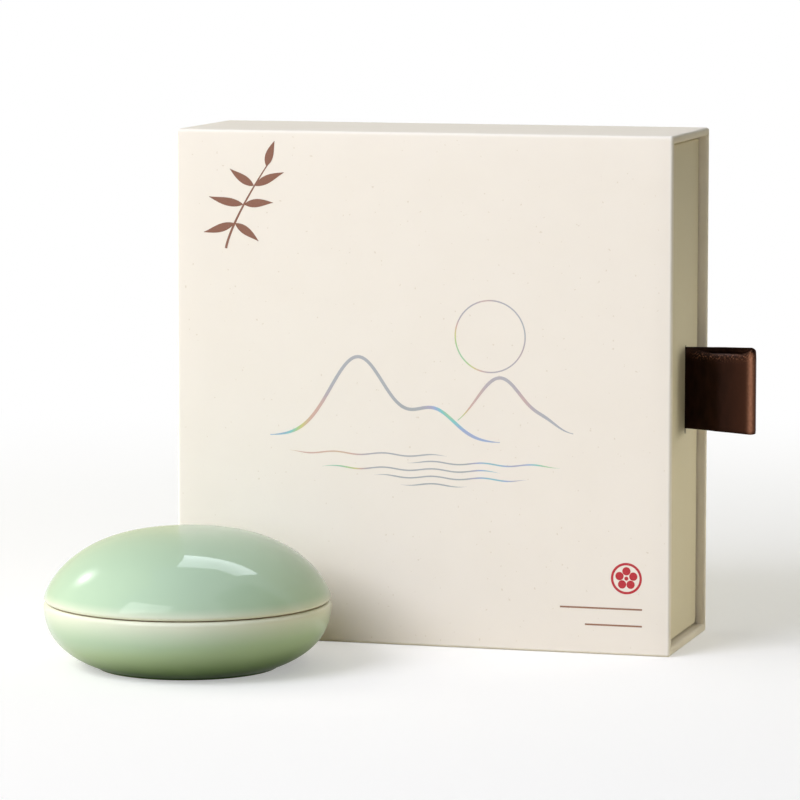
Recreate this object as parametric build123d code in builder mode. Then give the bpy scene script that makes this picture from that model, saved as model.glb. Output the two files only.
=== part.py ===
from build123d import *

import os
from math import asin, cos, sin

# Seal paste set: a round lidded porcelain pot, standing beside the rigid drawer case that it is kept in.
# Millimetres. +Z is up, the case's large front face looks along -Y and its drawer slides out along +X.
# The origin is the middle of the case's underside, and the pot stands on the same surface, at z = 0.

# Case: overall size as it stands on its long edge
case_width = 150.0
case_depth = 50.0
case_height = 151.0

# Sleeve: greyboard panels butted together and covered inside and out with paper
sleeve_board = 2.0
sleeve_paper = 0.2
sleeve_edge_radius = 0.9
sleeve_turn_in = 15.0

# Drawer: a tray of thinner board, open towards the front of the case
drawer_board = 1.6
drawer_paper = 0.2
drawer_edge_radius = 0.6
drawer_recess = 2.5
drawer_face_gap = 0.6
drawer_rest_gap = 0.4
drawer_top_gap = 0.7
drawer_end_gap = 0.6

# Pull ribbon: one satin band folded into a loop, both tails glued behind the drawer's end wall
ribbon_width = 25.0
ribbon_thickness = 0.35
ribbon_reach = 21.1
ribbon_height = 74.9
ribbon_set_back = 5.5
ribbon_tail = 9.0
ribbon_layer_gap = 0.5
ribbon_bulge = 2.1
ribbon_fold = 1.3
ribbon_fold_share = 0.9
ribbon_turn_radius = 0.3
slit_width = 1.9
slit_end_clearance = 0.7

# Insert: a foam block under a face card, cut through for the pot, with a thin pad below it
insert_gap = 0.3
insert_tail_gap = 1.0
insert_set_back = 4.2
face_card_thickness = 1.0
recess_clearance = 0.7
pad_thickness = 1.5
pad_clearance = 0.6
finger_notch_radius = 11.0
finger_notch_depth = 20.0

# Pot: body of revolution, with a dome above the seam and a bowl below it
pot_x = -55.4
pot_y = -74.7
pot_radius = 41.35
pot_height = 39.5
pot_seam = 18.95
pot_lip_radius = 1.2
rim_line_gap = 0.3
rim_width = 4.0
seat_width = 1.2

# Bowl of the pot
bowl_full_depth = 21.66
bowl_floor = 5.0
foot_height = 0.6
foot_radius = 26.0
foot_width = 3.6
foot_recess = 1.8
foot_edge_radius = 0.4
spigot_height = 2.2
spigot_wall = 2.2
spigot_clearance = 0.4
spigot_edge_radius = 0.5

# Lid of the pot
lid_top_wall = 3.2
lid_straight = 2.9

# Paste in the bowl
paste_gap = 0.2
paste_shoulder = 2.0
paste_crown = 5.0

# Roundness of the pot's curves, as the exponents of a superellipse across and up, and their points
dome_across_share = 2.66
dome_up_share = 1.50
bowl_share = 2.44
heap_share = 2.0
curve_points = 10
curve_tolerance = 0.01

# Sizes worked out from the ones above
sleeve_wall = sleeve_board + 2 * sleeve_paper
drawer_wall = drawer_board + 2 * drawer_paper
case_left = -case_width / 2
case_mouth = case_width / 2
case_front = -case_depth / 2
case_back = case_depth / 2

drawer_left = case_left + sleeve_wall + drawer_end_gap
drawer_right = case_mouth - drawer_recess
drawer_front = case_front + sleeve_wall + drawer_face_gap
drawer_back = case_back - sleeve_wall - drawer_face_gap
drawer_low = sleeve_wall + drawer_rest_gap
drawer_high = case_height - sleeve_wall - drawer_top_gap

insert_left = drawer_left + drawer_wall + insert_gap
insert_right = drawer_right - drawer_wall - insert_tail_gap
insert_low = drawer_low + drawer_wall + insert_gap
insert_high = drawer_high - drawer_wall - insert_gap
insert_back = drawer_back - drawer_wall
insert_face = drawer_front + insert_set_back + face_card_thickness
insert_middle = ((insert_left + insert_right) / 2, (insert_low + insert_high) / 2)

seam_low = pot_seam - rim_line_gap / 2
seam_high = pot_seam + rim_line_gap / 2
lid_bore = pot_radius - rim_width
spigot_radius = lid_bore - spigot_clearance
bowl_bore = spigot_radius - spigot_wall
seat_radius = lid_bore + seat_width


def wrapped_box(mouth, width, height, depth, wall, radius, inset):
    """A box that is open at its mouth, with every wall drawn in by inset on both of its faces."""
    with BuildPart() as box:
        with BuildSketch(mouth.offset(-inset)):
            Rectangle(width - 2 * inset, height - 2 * inset)
        extrude(amount=2 * inset - depth)
        fillet(box.edges(), radius - inset)
        with BuildSketch(mouth.offset(wall - inset - depth)):
            Rectangle(width - 2 * (wall - inset), height - 2 * (wall - inset))
        extrude(amount=depth, mode=Mode.SUBTRACT)
        rim = box.faces().sort_by(Axis(mouth.origin, mouth.z_dir))[-1]
        fillet(rim.inner_wires()[0].edges(), radius - inset)
    return box.part


def superellipse(radius, rise, level, across, up, begin=0, reach=1):
    """Points of a quarter superellipse, from share begin to share reach of its rise from its level."""
    first = asin(begin ** (up / 2))
    last = asin(reach ** (up / 2))
    turns = [first + (last - first) * step / curve_points for step in range(curve_points + 1)]
    return [(radius * abs(cos(turn)) ** (2 / across), level + rise * sin(turn) ** (2 / up)) for turn in turns]


def ring_edges(part, radius, height):
    """The round edges of a turned part that have this radius and lie at this height."""
    circles = part.edges().filter_by(GeomType.CIRCLE)
    near = [edge for edge in circles if abs(edge.center().Z - height) < curve_tolerance]
    return [edge for edge in near if abs(edge.radius - radius) < curve_tolerance]


# Sleeve
sleeve_mouth = Plane(origin=(case_mouth, 0, case_height / 2), x_dir=(0, 1, 0), z_dir=(1, 0, 0))
sleeve_form = (sleeve_mouth, case_depth, case_height, case_width, sleeve_wall, sleeve_edge_radius)
sleeve_outline = wrapped_box(*sleeve_form, 0)
sleeve_core = wrapped_box(*sleeve_form, sleeve_paper)

board_inner = sleeve_paper + sleeve_board
front_seam = Plane.XZ.offset(case_depth / 2 - board_inner)
back_seam = Plane.XZ.offset(board_inner - case_depth / 2)
end_seam = Plane.YZ.offset(case_left + board_inner)
bottom_seam = Plane.XY.offset(board_inner)
top_seam = Plane.XY.offset(case_height - board_inner)

with BuildPart() as sleeve_front_board:
    add(sleeve_core)
    split(bisect_by=front_seam, keep=Keep.TOP)

with BuildPart() as sleeve_back_board:
    add(sleeve_core)
    split(bisect_by=back_seam, keep=Keep.BOTTOM)

with BuildPart() as sleeve_edge_boards:
    add(sleeve_core)
    split(bisect_by=front_seam, keep=Keep.BOTTOM)
    split(bisect_by=back_seam, keep=Keep.TOP)

with BuildPart() as sleeve_end_board:
    add(sleeve_edge_boards.part)
    split(bisect_by=end_seam, keep=Keep.BOTTOM)

with BuildPart() as sleeve_top_board:
    add(sleeve_edge_boards.part)
    split(bisect_by=end_seam, keep=Keep.TOP)
    split(bisect_by=top_seam, keep=Keep.TOP)

with BuildPart() as sleeve_bottom_board:
    add(sleeve_edge_boards.part)
    split(bisect_by=end_seam, keep=Keep.TOP)
    split(bisect_by=bottom_seam, keep=Keep.BOTTOM)

# The covering: a sheet over the sides and mouth, a sheet under the base, and a lining
with BuildPart() as sleeve_skin:
    add(sleeve_outline)
    add(sleeve_core, mode=Mode.SUBTRACT)

with BuildPart() as lining_space:
    with BuildSketch(Plane.YZ.offset(case_left + board_inner)):
        with Locations((0, case_height / 2)):
            Rectangle(case_depth - 2 * board_inner, case_height - 2 * board_inner)
    extrude(amount=case_width - board_inner - sleeve_turn_in)

with BuildPart() as sleeve_lining_paper:
    add(sleeve_skin.part)
    add(lining_space.part, mode=Mode.INTERSECT)

with BuildPart() as sleeve_base_paper:
    add(sleeve_skin.part)
    split(bisect_by=Plane.XY.offset(sleeve_edge_radius), keep=Keep.BOTTOM)

with BuildPart() as sleeve_wrap_paper:
    add(sleeve_skin.part)
    split(bisect_by=Plane.XY.offset(sleeve_edge_radius), keep=Keep.TOP)
    add(lining_space.part, mode=Mode.SUBTRACT)

# Drawer
drawer_width = drawer_right - drawer_left
drawer_height = drawer_high - drawer_low
drawer_depth = drawer_back - drawer_front
drawer_mouth = Plane(
    origin=((drawer_left + drawer_right) / 2, drawer_front, (drawer_low + drawer_high) / 2),
    x_dir=(1, 0, 0),
    z_dir=(0, -1, 0),
)
drawer_form = (drawer_mouth, drawer_width, drawer_height, drawer_depth, drawer_wall, drawer_edge_radius)

with BuildPart() as ribbon_slit:
    with BuildSketch(Plane.YZ.offset(drawer_right - 2 * drawer_wall)):
        with Locations((ribbon_set_back, ribbon_height)):
            SlotOverall(ribbon_width + 2 * slit_end_clearance, slit_width, rotation=90)
    extrude(amount=3 * drawer_wall)

with BuildPart() as drawer_core:
    add(wrapped_box(*drawer_form, drawer_paper))
    add(ribbon_slit.part, mode=Mode.SUBTRACT)

with BuildPart() as drawer_skin:
    add(wrapped_box(*drawer_form, 0))
    add(wrapped_box(*drawer_form, drawer_paper), mode=Mode.SUBTRACT)
    add(ribbon_slit.part, mode=Mode.SUBTRACT)

tray_inner = drawer_paper + drawer_board
floor_seam = Plane.XZ.offset(tray_inner - drawer_back)
pull_seam = Plane.YZ.offset(drawer_right - tray_inner)
far_seam = Plane.YZ.offset(drawer_left + tray_inner)
lower_seam = Plane.XY.offset(drawer_low + tray_inner)
upper_seam = Plane.XY.offset(drawer_high - tray_inner)

with BuildPart() as drawer_floor_board:
    add(drawer_core.part)
    split(bisect_by=floor_seam, keep=Keep.BOTTOM)

with BuildPart() as drawer_side_boards:
    add(drawer_core.part)
    split(bisect_by=floor_seam, keep=Keep.TOP)

with BuildPart() as drawer_pull_board:
    add(drawer_side_boards.part)
    split(bisect_by=pull_seam, keep=Keep.TOP)

with BuildPart() as drawer_far_board:
    add(drawer_side_boards.part)
    split(bisect_by=far_seam, keep=Keep.BOTTOM)

with BuildPart() as drawer_long_boards:
    add(drawer_side_boards.part)
    split(bisect_by=pull_seam, keep=Keep.BOTTOM)
    split(bisect_by=far_seam, keep=Keep.TOP)

with BuildPart() as drawer_upper_board:
    add(drawer_long_boards.part)
    split(bisect_by=upper_seam, keep=Keep.TOP)

with BuildPart() as drawer_lower_board:
    add(drawer_long_boards.part)
    split(bisect_by=lower_seam, keep=Keep.BOTTOM)

# The tray's covering: one sheet round the outside, over the rim and down the inner walls, and a floor lining
with BuildPart() as tray_floor_space:
    with BuildSketch(Plane.XZ.offset(drawer_wall - drawer_back)):
        with Locations((drawer_mouth.origin.X, drawer_mouth.origin.Z)):
            Rectangle(drawer_width - 2 * drawer_wall, drawer_height - 2 * drawer_wall)
    extrude(amount=-drawer_paper)

with BuildPart() as drawer_lining_paper:
    add(drawer_skin.part)
    add(tray_floor_space.part, mode=Mode.INTERSECT)

with BuildPart() as drawer_wrap_paper:
    add(drawer_skin.part)
    add(tray_floor_space.part, mode=Mode.SUBTRACT)

# Pull ribbon: straight runs joined by tangent arcs, seen from above, traced at the band's thickness
ribbon_half = (ribbon_layer_gap + ribbon_thickness) / 2
tail_line = drawer_right - drawer_wall - ribbon_thickness / 2
tip_line = drawer_right + ribbon_reach - ribbon_thickness / 2
swell_line = drawer_right + ribbon_reach / 2
near_layer = [
    (tail_line, ribbon_set_back - ribbon_half - ribbon_tail),
    (tail_line, ribbon_set_back - ribbon_half),
    (drawer_right, ribbon_set_back - ribbon_half),
    (swell_line, ribbon_set_back - ribbon_bulge),
    (tip_line, ribbon_set_back - ribbon_fold),
]
far_layer = [(x, 2 * ribbon_set_back - y) for x, y in reversed(near_layer)]
ribbon_radii = [
    ribbon_turn_radius,
    ribbon_reach / 4,
    ribbon_reach / 2,
    ribbon_fold_share * ribbon_fold,
    ribbon_fold_share * ribbon_fold,
    ribbon_reach / 2,
    ribbon_reach / 4,
    ribbon_turn_radius,
]

with BuildPart() as pull_ribbon:
    with BuildSketch(Plane.XY.offset(ribbon_height - ribbon_width / 2)):
        with BuildLine():
            FilletPolyline(*near_layer, *far_layer, radius=ribbon_radii)
        trace(line_width=ribbon_thickness)
    extrude(amount=ribbon_width)

# Insert
recess_radius = pot_radius + recess_clearance


def insert_sheet(back, thickness):
    """A sheet that fills the tray from side to side, cut through for the pot."""
    with BuildPart() as sheet:
        with BuildSketch(Plane.XZ.offset(-back)):
            with Locations(insert_middle):
                Rectangle(insert_right - insert_left, insert_high - insert_low)
                Circle(recess_radius, mode=Mode.SUBTRACT)
        extrude(amount=thickness)
    return sheet.part


with BuildPart() as finger_notches:
    with BuildSketch(Plane.XZ.offset(-insert_face - finger_notch_depth)):
        with Locations(insert_middle):
            with Locations((-recess_radius, 0), (recess_radius, 0)):
                Circle(finger_notch_radius)
    extrude(amount=finger_notch_depth + 2 * face_card_thickness)

with BuildPart() as insert_foam:
    add(insert_sheet(insert_back, insert_back - insert_face))
    add(finger_notches.part, mode=Mode.SUBTRACT)

with BuildPart() as insert_face_card:
    add(insert_sheet(insert_face, face_card_thickness))
    add(finger_notches.part, mode=Mode.SUBTRACT)

with BuildPart() as recess_pad:
    with BuildSketch(Plane.XZ.offset(-insert_back)):
        with Locations(insert_middle):
            Circle(recess_radius - pad_clearance)
    extrude(amount=pad_thickness)

# Pot: every piece is a half section turned about the pot's own axis
pot_plane = Plane(origin=(pot_x, pot_y, 0), x_dir=(1, 0, 0), z_dir=(0, -1, 0))
pot_axis = Axis((pot_x, pot_y, 0), (0, 0, 1))

with BuildPart() as pot_base:
    with BuildSketch(pot_plane):
        with BuildLine():
            skirt_reach = (seam_low - foot_height) / bowl_full_depth
            skirt = superellipse(pot_radius, -bowl_full_depth, seam_low, bowl_share, bowl_share, reach=skirt_reach)
            Spline(*skirt)
            Polyline(
                skirt[-1],
                (foot_radius, 0),
                (foot_radius - foot_width, 0),
                (foot_radius - foot_width - foot_recess, foot_recess),
                (0, foot_recess),
                (0, bowl_floor),
            )
            hollow = superellipse(bowl_bore, bowl_floor - seam_low, seam_low, bowl_share, bowl_share)
            Spline(*hollow, tangents=[(0, -1), (-1, 0)])
            Polyline(
                (bowl_bore, seam_low),
                (bowl_bore, seam_high + spigot_height),
                (spigot_radius, seam_high + spigot_height),
                (spigot_radius, seam_high),
                (seat_radius, seam_high),
                (seat_radius, seam_low),
                (pot_radius, seam_low),
            )
        make_face()
    revolve(axis=pot_axis)
    fillet(ring_edges(pot_base.part, pot_radius, seam_low), pot_lip_radius)
    fillet(ring_edges(pot_base.part, spigot_radius, seam_high + spigot_height), spigot_edge_radius)
    fillet(ring_edges(pot_base.part, bowl_bore, seam_high + spigot_height), spigot_edge_radius)
    fillet(ring_edges(pot_base.part, foot_radius - foot_width, 0), foot_edge_radius)

with BuildPart() as pot_lid:
    with BuildSketch(pot_plane):
        with BuildLine():
            dome = superellipse(pot_radius, pot_height - seam_high, seam_high, dome_across_share, dome_up_share)
            Spline(*dome, tangents=[(0, 1), (-1, 0)])
            Line((0, pot_height), (0, pot_height - lid_top_wall))
            ceiling_level = seam_high + lid_straight
            ceiling_rise = pot_height - lid_top_wall - ceiling_level
            ceiling = superellipse(lid_bore, ceiling_rise, ceiling_level, dome_across_share, dome_up_share)
            Spline(*ceiling, tangents=[(0, 1), (-1, 0)])
            Polyline((lid_bore, ceiling_level), (lid_bore, seam_high), (pot_radius, seam_high))
        make_face()
    revolve(axis=pot_axis)
    fillet(ring_edges(pot_lid.part, pot_radius, seam_high), pot_lip_radius)

with BuildPart() as seal_paste:
    with BuildSketch(pot_plane):
        with BuildLine():
            paste_depth = seam_low - bowl_floor - paste_gap
            paste_radius = bowl_bore - paste_gap
            shoulder_share = paste_shoulder / paste_depth
            side = superellipse(paste_radius, -paste_depth, seam_low, bowl_share, bowl_share, begin=shoulder_share)
            Spline(*side)
            heap = superellipse(side[0][0], paste_crown, side[0][1], heap_share, heap_share)
            Spline(*heap, tangents=[(0, 1), (-1, 0)])
            Line(side[-1], heap[-1])
        make_face()
    revolve(axis=pot_axis)

pieces = {
    "sleeve_front_board": sleeve_front_board,
    "sleeve_back_board": sleeve_back_board,
    "sleeve_top_board": sleeve_top_board,
    "sleeve_bottom_board": sleeve_bottom_board,
    "sleeve_end_board": sleeve_end_board,
    "sleeve_wrap_paper": sleeve_wrap_paper,
    "sleeve_base_paper": sleeve_base_paper,
    "sleeve_lining_paper": sleeve_lining_paper,
    "drawer_floor_board": drawer_floor_board,
    "drawer_pull_board": drawer_pull_board,
    "drawer_far_board": drawer_far_board,
    "drawer_upper_board": drawer_upper_board,
    "drawer_lower_board": drawer_lower_board,
    "drawer_wrap_paper": drawer_wrap_paper,
    "drawer_lining_paper": drawer_lining_paper,
    "pull_ribbon": pull_ribbon,
    "insert_foam": insert_foam,
    "insert_face_card": insert_face_card,
    "recess_pad": recess_pad,
    "pot_base": pot_base,
    "pot_lid": pot_lid,
    "seal_paste": seal_paste,
}

os.makedirs("parts", exist_ok=True)
for name, piece in pieces.items():
    piece.part.label = name
    export_step(piece.part, f"parts/{name}.step")
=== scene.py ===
"""Looks of the seal paste set: a round celadon pot, standing beside the paper drawer case that keeps it.

All lengths are metres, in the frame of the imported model: +Z up, the case's large front face towards -Y, its
drawer sliding out along +X, and the origin in the middle of the case's underside.
"""

import logging
import math
from dataclasses import dataclass, field
from enum import Enum
from functools import lru_cache
from typing import Any, Iterable, Sequence

import bmesh
import bpy
import numpy as np
from mathutils import Matrix, Vector


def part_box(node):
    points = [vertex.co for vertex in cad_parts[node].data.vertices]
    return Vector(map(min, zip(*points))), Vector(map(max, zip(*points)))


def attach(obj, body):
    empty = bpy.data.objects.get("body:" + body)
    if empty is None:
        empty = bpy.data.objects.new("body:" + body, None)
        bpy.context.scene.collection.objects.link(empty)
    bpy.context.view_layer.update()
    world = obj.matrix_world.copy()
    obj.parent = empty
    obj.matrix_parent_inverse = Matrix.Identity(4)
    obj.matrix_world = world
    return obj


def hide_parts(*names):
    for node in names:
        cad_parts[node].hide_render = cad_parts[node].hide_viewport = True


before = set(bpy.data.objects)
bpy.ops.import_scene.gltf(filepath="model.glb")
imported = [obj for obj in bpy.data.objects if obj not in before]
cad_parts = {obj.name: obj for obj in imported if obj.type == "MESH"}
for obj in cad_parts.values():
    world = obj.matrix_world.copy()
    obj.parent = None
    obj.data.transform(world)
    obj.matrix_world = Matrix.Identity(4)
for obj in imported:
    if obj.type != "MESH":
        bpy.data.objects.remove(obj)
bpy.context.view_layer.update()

log = logging.getLogger("seal_paste_set")

Colour = tuple[float, float, float]
Triple = tuple[float, float, float]
Points = np.ndarray

MM = 0.001
JOIN_WITHIN = 0.0005 * MM


# Arithmetic in shaders


class Field:
    """A number that changes over a surface: one socket, on which plain arithmetic adds the Math nodes."""

    def __init__(self, tree: "Tree", socket: bpy.types.NodeSocket) -> None:
        """Keeps the socket and the tree that it belongs to."""
        self.tree = tree
        self.socket = socket

    def __add__(self, other: Any) -> "Field":
        """The sum."""
        return self.tree.math("ADD", self, other)

    def __radd__(self, other: Any) -> "Field":
        """The sum, with the number first."""
        return self.tree.math("ADD", other, self)

    def __sub__(self, other: Any) -> "Field":
        """The difference."""
        return self.tree.math("SUBTRACT", self, other)

    def __rsub__(self, other: Any) -> "Field":
        """The difference, with the number first."""
        return self.tree.math("SUBTRACT", other, self)

    def __mul__(self, other: Any) -> "Field":
        """The product."""
        return self.tree.math("MULTIPLY", self, other)

    def __truediv__(self, other: Any) -> "Field":
        """The quotient."""
        return self.tree.math("DIVIDE", self, other)

    def __abs__(self) -> "Field":
        """The size without its sign."""
        return self.tree.math("ABSOLUTE", self)

    def or_more(self, other: Any) -> "Field":
        """The larger of the two."""
        return self.tree.math("MAXIMUM", self, other)

    def wave(self) -> "Field":
        """The sine of the value."""
        return self.tree.math("SINE", self)

    def rise(self, low: float, high: float) -> "Field":
        """A smooth step from 0 at low to 1 at high.

        Args:
            low: the value where the step begins.
            high: the value where the step is complete.

        Returns:
            The step, from 0 to 1.
        """
        inputs = {"Value": self, "From Min": low, "From Max": high, "To Min": 0.0, "To Max": 1.0}
        return self.tree.field("ShaderNodeMapRange", {"interpolation_type": "SMOOTHSTEP"}, inputs, "Result")


class Tree:
    """A node tree: one method makes any node, and the others are short names for what is used often."""

    def __init__(self, nodes: bpy.types.NodeTree) -> None:
        """Takes over an empty or default node tree."""
        self.nodes = nodes
        nodes.nodes.clear()

    def node(self, kind: str, settings: dict[str, Any] | None = None, inputs: dict | None = None) -> bpy.types.Node:
        """Makes one node.

        Args:
            kind: the node's type.
            settings: its own properties, set first; "stops" gives a ramp's (place, colour) pairs.
            inputs: values or links by socket name, identifier or index.

        Returns:
            The new node.
        """
        made = self.nodes.nodes.new(kind)
        for key, value in (settings or {}).items():
            if key == "stops":
                self._set_stops(made.color_ramp, value)
            else:
                setattr(made, key, value)
        for key, value in (inputs or {}).items():
            socket = self._find(made.inputs, key)
            if isinstance(value, Field):
                self.nodes.links.new(value.socket, socket)
            elif socket.type == "RGBA":
                socket.default_value = (*value, 1.0)
            else:
                socket.default_value = value
        return made

    def field(self, kind: str, settings: dict | None = None, inputs: dict | None = None, output: Any = 0) -> Field:
        """Makes one node, as node() does, and returns the output socket that is named."""
        made = self.node(kind, settings, inputs)
        return Field(self, self._find(made.outputs, output))

    def math(self, operation: str, *values: Any) -> Field:
        """A Math node on numbers or fields."""
        return self.field("ShaderNodeMath", {"operation": operation}, dict(enumerate(values)))

    def place(self) -> Field:
        """The point in the piece's own coordinates, which are the frame's, in metres."""
        return self.field("ShaderNodeTexCoord", output="Object")

    def axes(self, point: Field) -> tuple[Field, Field, Field]:
        """The three parts of a point."""
        parts = self.node("ShaderNodeSeparateXYZ", inputs={0: point})
        return tuple(Field(self, parts.outputs[index]) for index in range(3))

    def painted(self, name: str) -> Field:
        """A value that was worked out for every vertex when the piece was built."""
        return self.field("ShaderNodeAttribute", {"attribute_name": name}, output="Fac")

    def noise(self, point: Field, grain: float, detail: float = 2.0, stretch: Triple | None = None) -> Field:
        """Smooth noise from 0 to 1.

        Args:
            point: where it is read.
            grain: the size of its grains, in metres.
            detail: how many finer layers it has.
            stretch: how much shorter the grains are along each axis.

        Returns:
            The noise.
        """
        if stretch is not None:
            point = self.field("ShaderNodeVectorMath", {"operation": "MULTIPLY"}, {0: point, 1: stretch})
        return self.field("ShaderNodeTexNoise", {}, {"Vector": point, "Scale": 1.0 / grain, "Detail": detail}, "Fac")

    def blend(self, share: Any, first: Any, second: Any) -> Field:
        """One colour turning into another as share goes from 0 to 1."""
        inputs = {"Factor_Float": share, "A_Color": first, "B_Color": second}
        return self.field("ShaderNodeMix", {"data_type": "RGBA"}, inputs, "Result_Color")

    def bump(self, height: Field, depth: float) -> Field:
        """A normal from a height of 0 to 1, where depth is what 1 stands for, in metres."""
        return self.field("ShaderNodeBump", {}, {"Height": height, "Strength": 1.0, "Distance": depth}, "Normal")

    def finish(self, settings: dict[str, Any]) -> None:
        """Ends a material in one Principled shader with these sockets."""
        shader = self.field("ShaderNodeBsdfPrincipled", {}, settings, "BSDF")
        self.node("ShaderNodeOutputMaterial", {}, {"Surface": shader})

    @staticmethod
    def _find(sockets: Any, key: Any) -> bpy.types.NodeSocket:
        """The socket with that index, identifier or name."""
        if isinstance(key, int):
            return sockets[key]
        return next((socket for socket in sockets if socket.identifier == key), None) or sockets[key]

    @staticmethod
    def _set_stops(ramp: bpy.types.ColorRamp, stops: Sequence[tuple[float, Colour]]) -> None:
        """Gives a ramp its colours.

        Args:
            ramp: the ramp, which starts with two.
            stops: (place, colour) pairs in order.
        """
        while len(ramp.elements) < len(stops):
            ramp.elements.new(1.0)
        for element, (place, colour) in zip(ramp.elements, stops):
            element.position = place
            element.color = (*colour, 1.0)


# Finishes


def shaded(colour: Colour, level: float) -> Colour:
    """The colour, darker or lighter by a factor."""
    return tuple(level * part for part in colour)


@dataclass(frozen=True)
class Finish:
    """What a surface is covered with. The slot is its name in the model's record."""

    slot: str
    colour: Colour

    def material(self) -> bpy.types.Material:
        """The Blender material of this finish, made once."""
        return material_of(self)

    def paint(self, tree: Tree) -> None:
        """Builds the nodes. Each kind of finish has its own."""
        raise NotImplementedError


@lru_cache(maxsize=None)
def material_of(finish: Finish) -> bpy.types.Material:
    """Makes the material of a finish the first time that it is asked for.

    Args:
        finish: what the material shows.

    Returns:
        The material.
    """
    made = bpy.data.materials.new(finish.slot)
    made.use_nodes = True
    finish.paint(Tree(made.node_tree))
    return made


@dataclass(frozen=True)
class Paper(Finish):
    """Uncoated paper glued over board: fine tooth, faint clouds and a few specks of fibre."""

    cloud: Colour = (0.83, 0.76, 0.66)
    cloud_size: float = 14 * MM
    cloud_share: float = 0.14
    speck: Colour = (0.60, 0.50, 0.36)
    speck_size: float = 1.1 * MM
    speck_share: float = 0.35
    tooth: float = 0.35 * MM
    tooth_depth: float = 0.018 * MM
    grain_stretch: Triple = (1.0, 1.0, 0.6)
    roughness: float = 0.62
    # fold is the colour of a painted highlight along the box's edges
    fold: Colour = (0.93, 0.885, 0.81)
    edge_highlight_share: float = 0.75
    half_sizes: Triple = (0.0, 0.0, 0.0)
    middle: Triple = (0.0, 0.0, 0.0)
    edge_highlight_reach: float = 1.6 * MM
    edge_highlight_core: float = 0.2 * MM

    def paint(self, tree: Tree) -> None:
        """Clouds and specks in the colour, tooth in the bump, and a painted highlight: paler paper along the box's
        edges.

        Args:
            tree: the material's nodes.
        """
        place = tree.place()
        clouds = tree.noise(place, self.cloud_size, 3.0).rise(0.35, 0.7)
        colour = tree.blend(clouds * self.cloud_share, self.colour, self.cloud)
        specks = tree.noise(place, self.speck_size, 1.0).rise(0.75, 0.79)
        colour = tree.blend(specks * self.speck_share, colour, self.speck)
        # painted highlight: paler paper near the box's edges
        if max(self.half_sizes) > 0:
            colour = tree.blend(self.edge_highlight(tree, place) * self.edge_highlight_share, colour, self.fold)
        fibre = tree.noise(place, self.tooth, 3.0, self.grain_stretch)
        tree.finish({
            "Base Color": colour,
            "Roughness": self.roughness + fibre * 0.14,
            "Specular IOR Level": 0.3,
            "Normal": tree.bump(fibre, self.tooth_depth),
        })

    def edge_highlight(self, tree: Tree, place: Field) -> Field:
        """How close a point is to one of the box's edges, for the painted highlight: two of its three distances run
        out.

        Args:
            tree: the material's nodes.
            place: the point.

        Returns:
            One on an edge, falling to 0 at the highlight's reach from it.
        """
        ends = []
        for part, centre, half in zip(tree.axes(place), self.middle, self.half_sizes):
            ends.append(abs(part - centre).rise(half - self.edge_highlight_reach, half - self.edge_highlight_core))
        return ends[0] * ends[1] + ends[1] * ends[2] + ends[0] * ends[2]


@dataclass(frozen=True)
class Greyboard(Finish):
    """Recycled board: grey pulp with darker and paler fibres."""

    pale: Colour = (0.6, 0.58, 0.54)
    fibre_size: float = 0.8 * MM
    fibre_stretch: Triple = (0.35, 1.0, 1.0)
    grit_size: float = 0.25 * MM
    depth: float = 0.05 * MM

    def paint(self, tree: Tree) -> None:
        """Fibres as stretched noise.

        Args:
            tree: the material's nodes.
        """
        place = tree.place()
        fibre = tree.noise(place, self.fibre_size, 4.0, self.fibre_stretch)
        grit = tree.noise(place, self.grit_size, 2.0).rise(0.4, 0.75)
        colour = tree.blend(fibre.rise(0.3, 0.7), shaded(self.colour, 0.8), self.colour)
        colour = tree.blend(grit * 0.3, colour, self.pale)
        tree.finish({
            "Base Color": colour,
            "Roughness": 0.85 + fibre * 0.1,
            "Specular IOR Level": 0.25,
            "Normal": tree.bump(fibre + grit * 0.4, self.depth),
        })


GREYBOARD = Greyboard("greyboard", (0.42, 0.4, 0.37))


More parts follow.
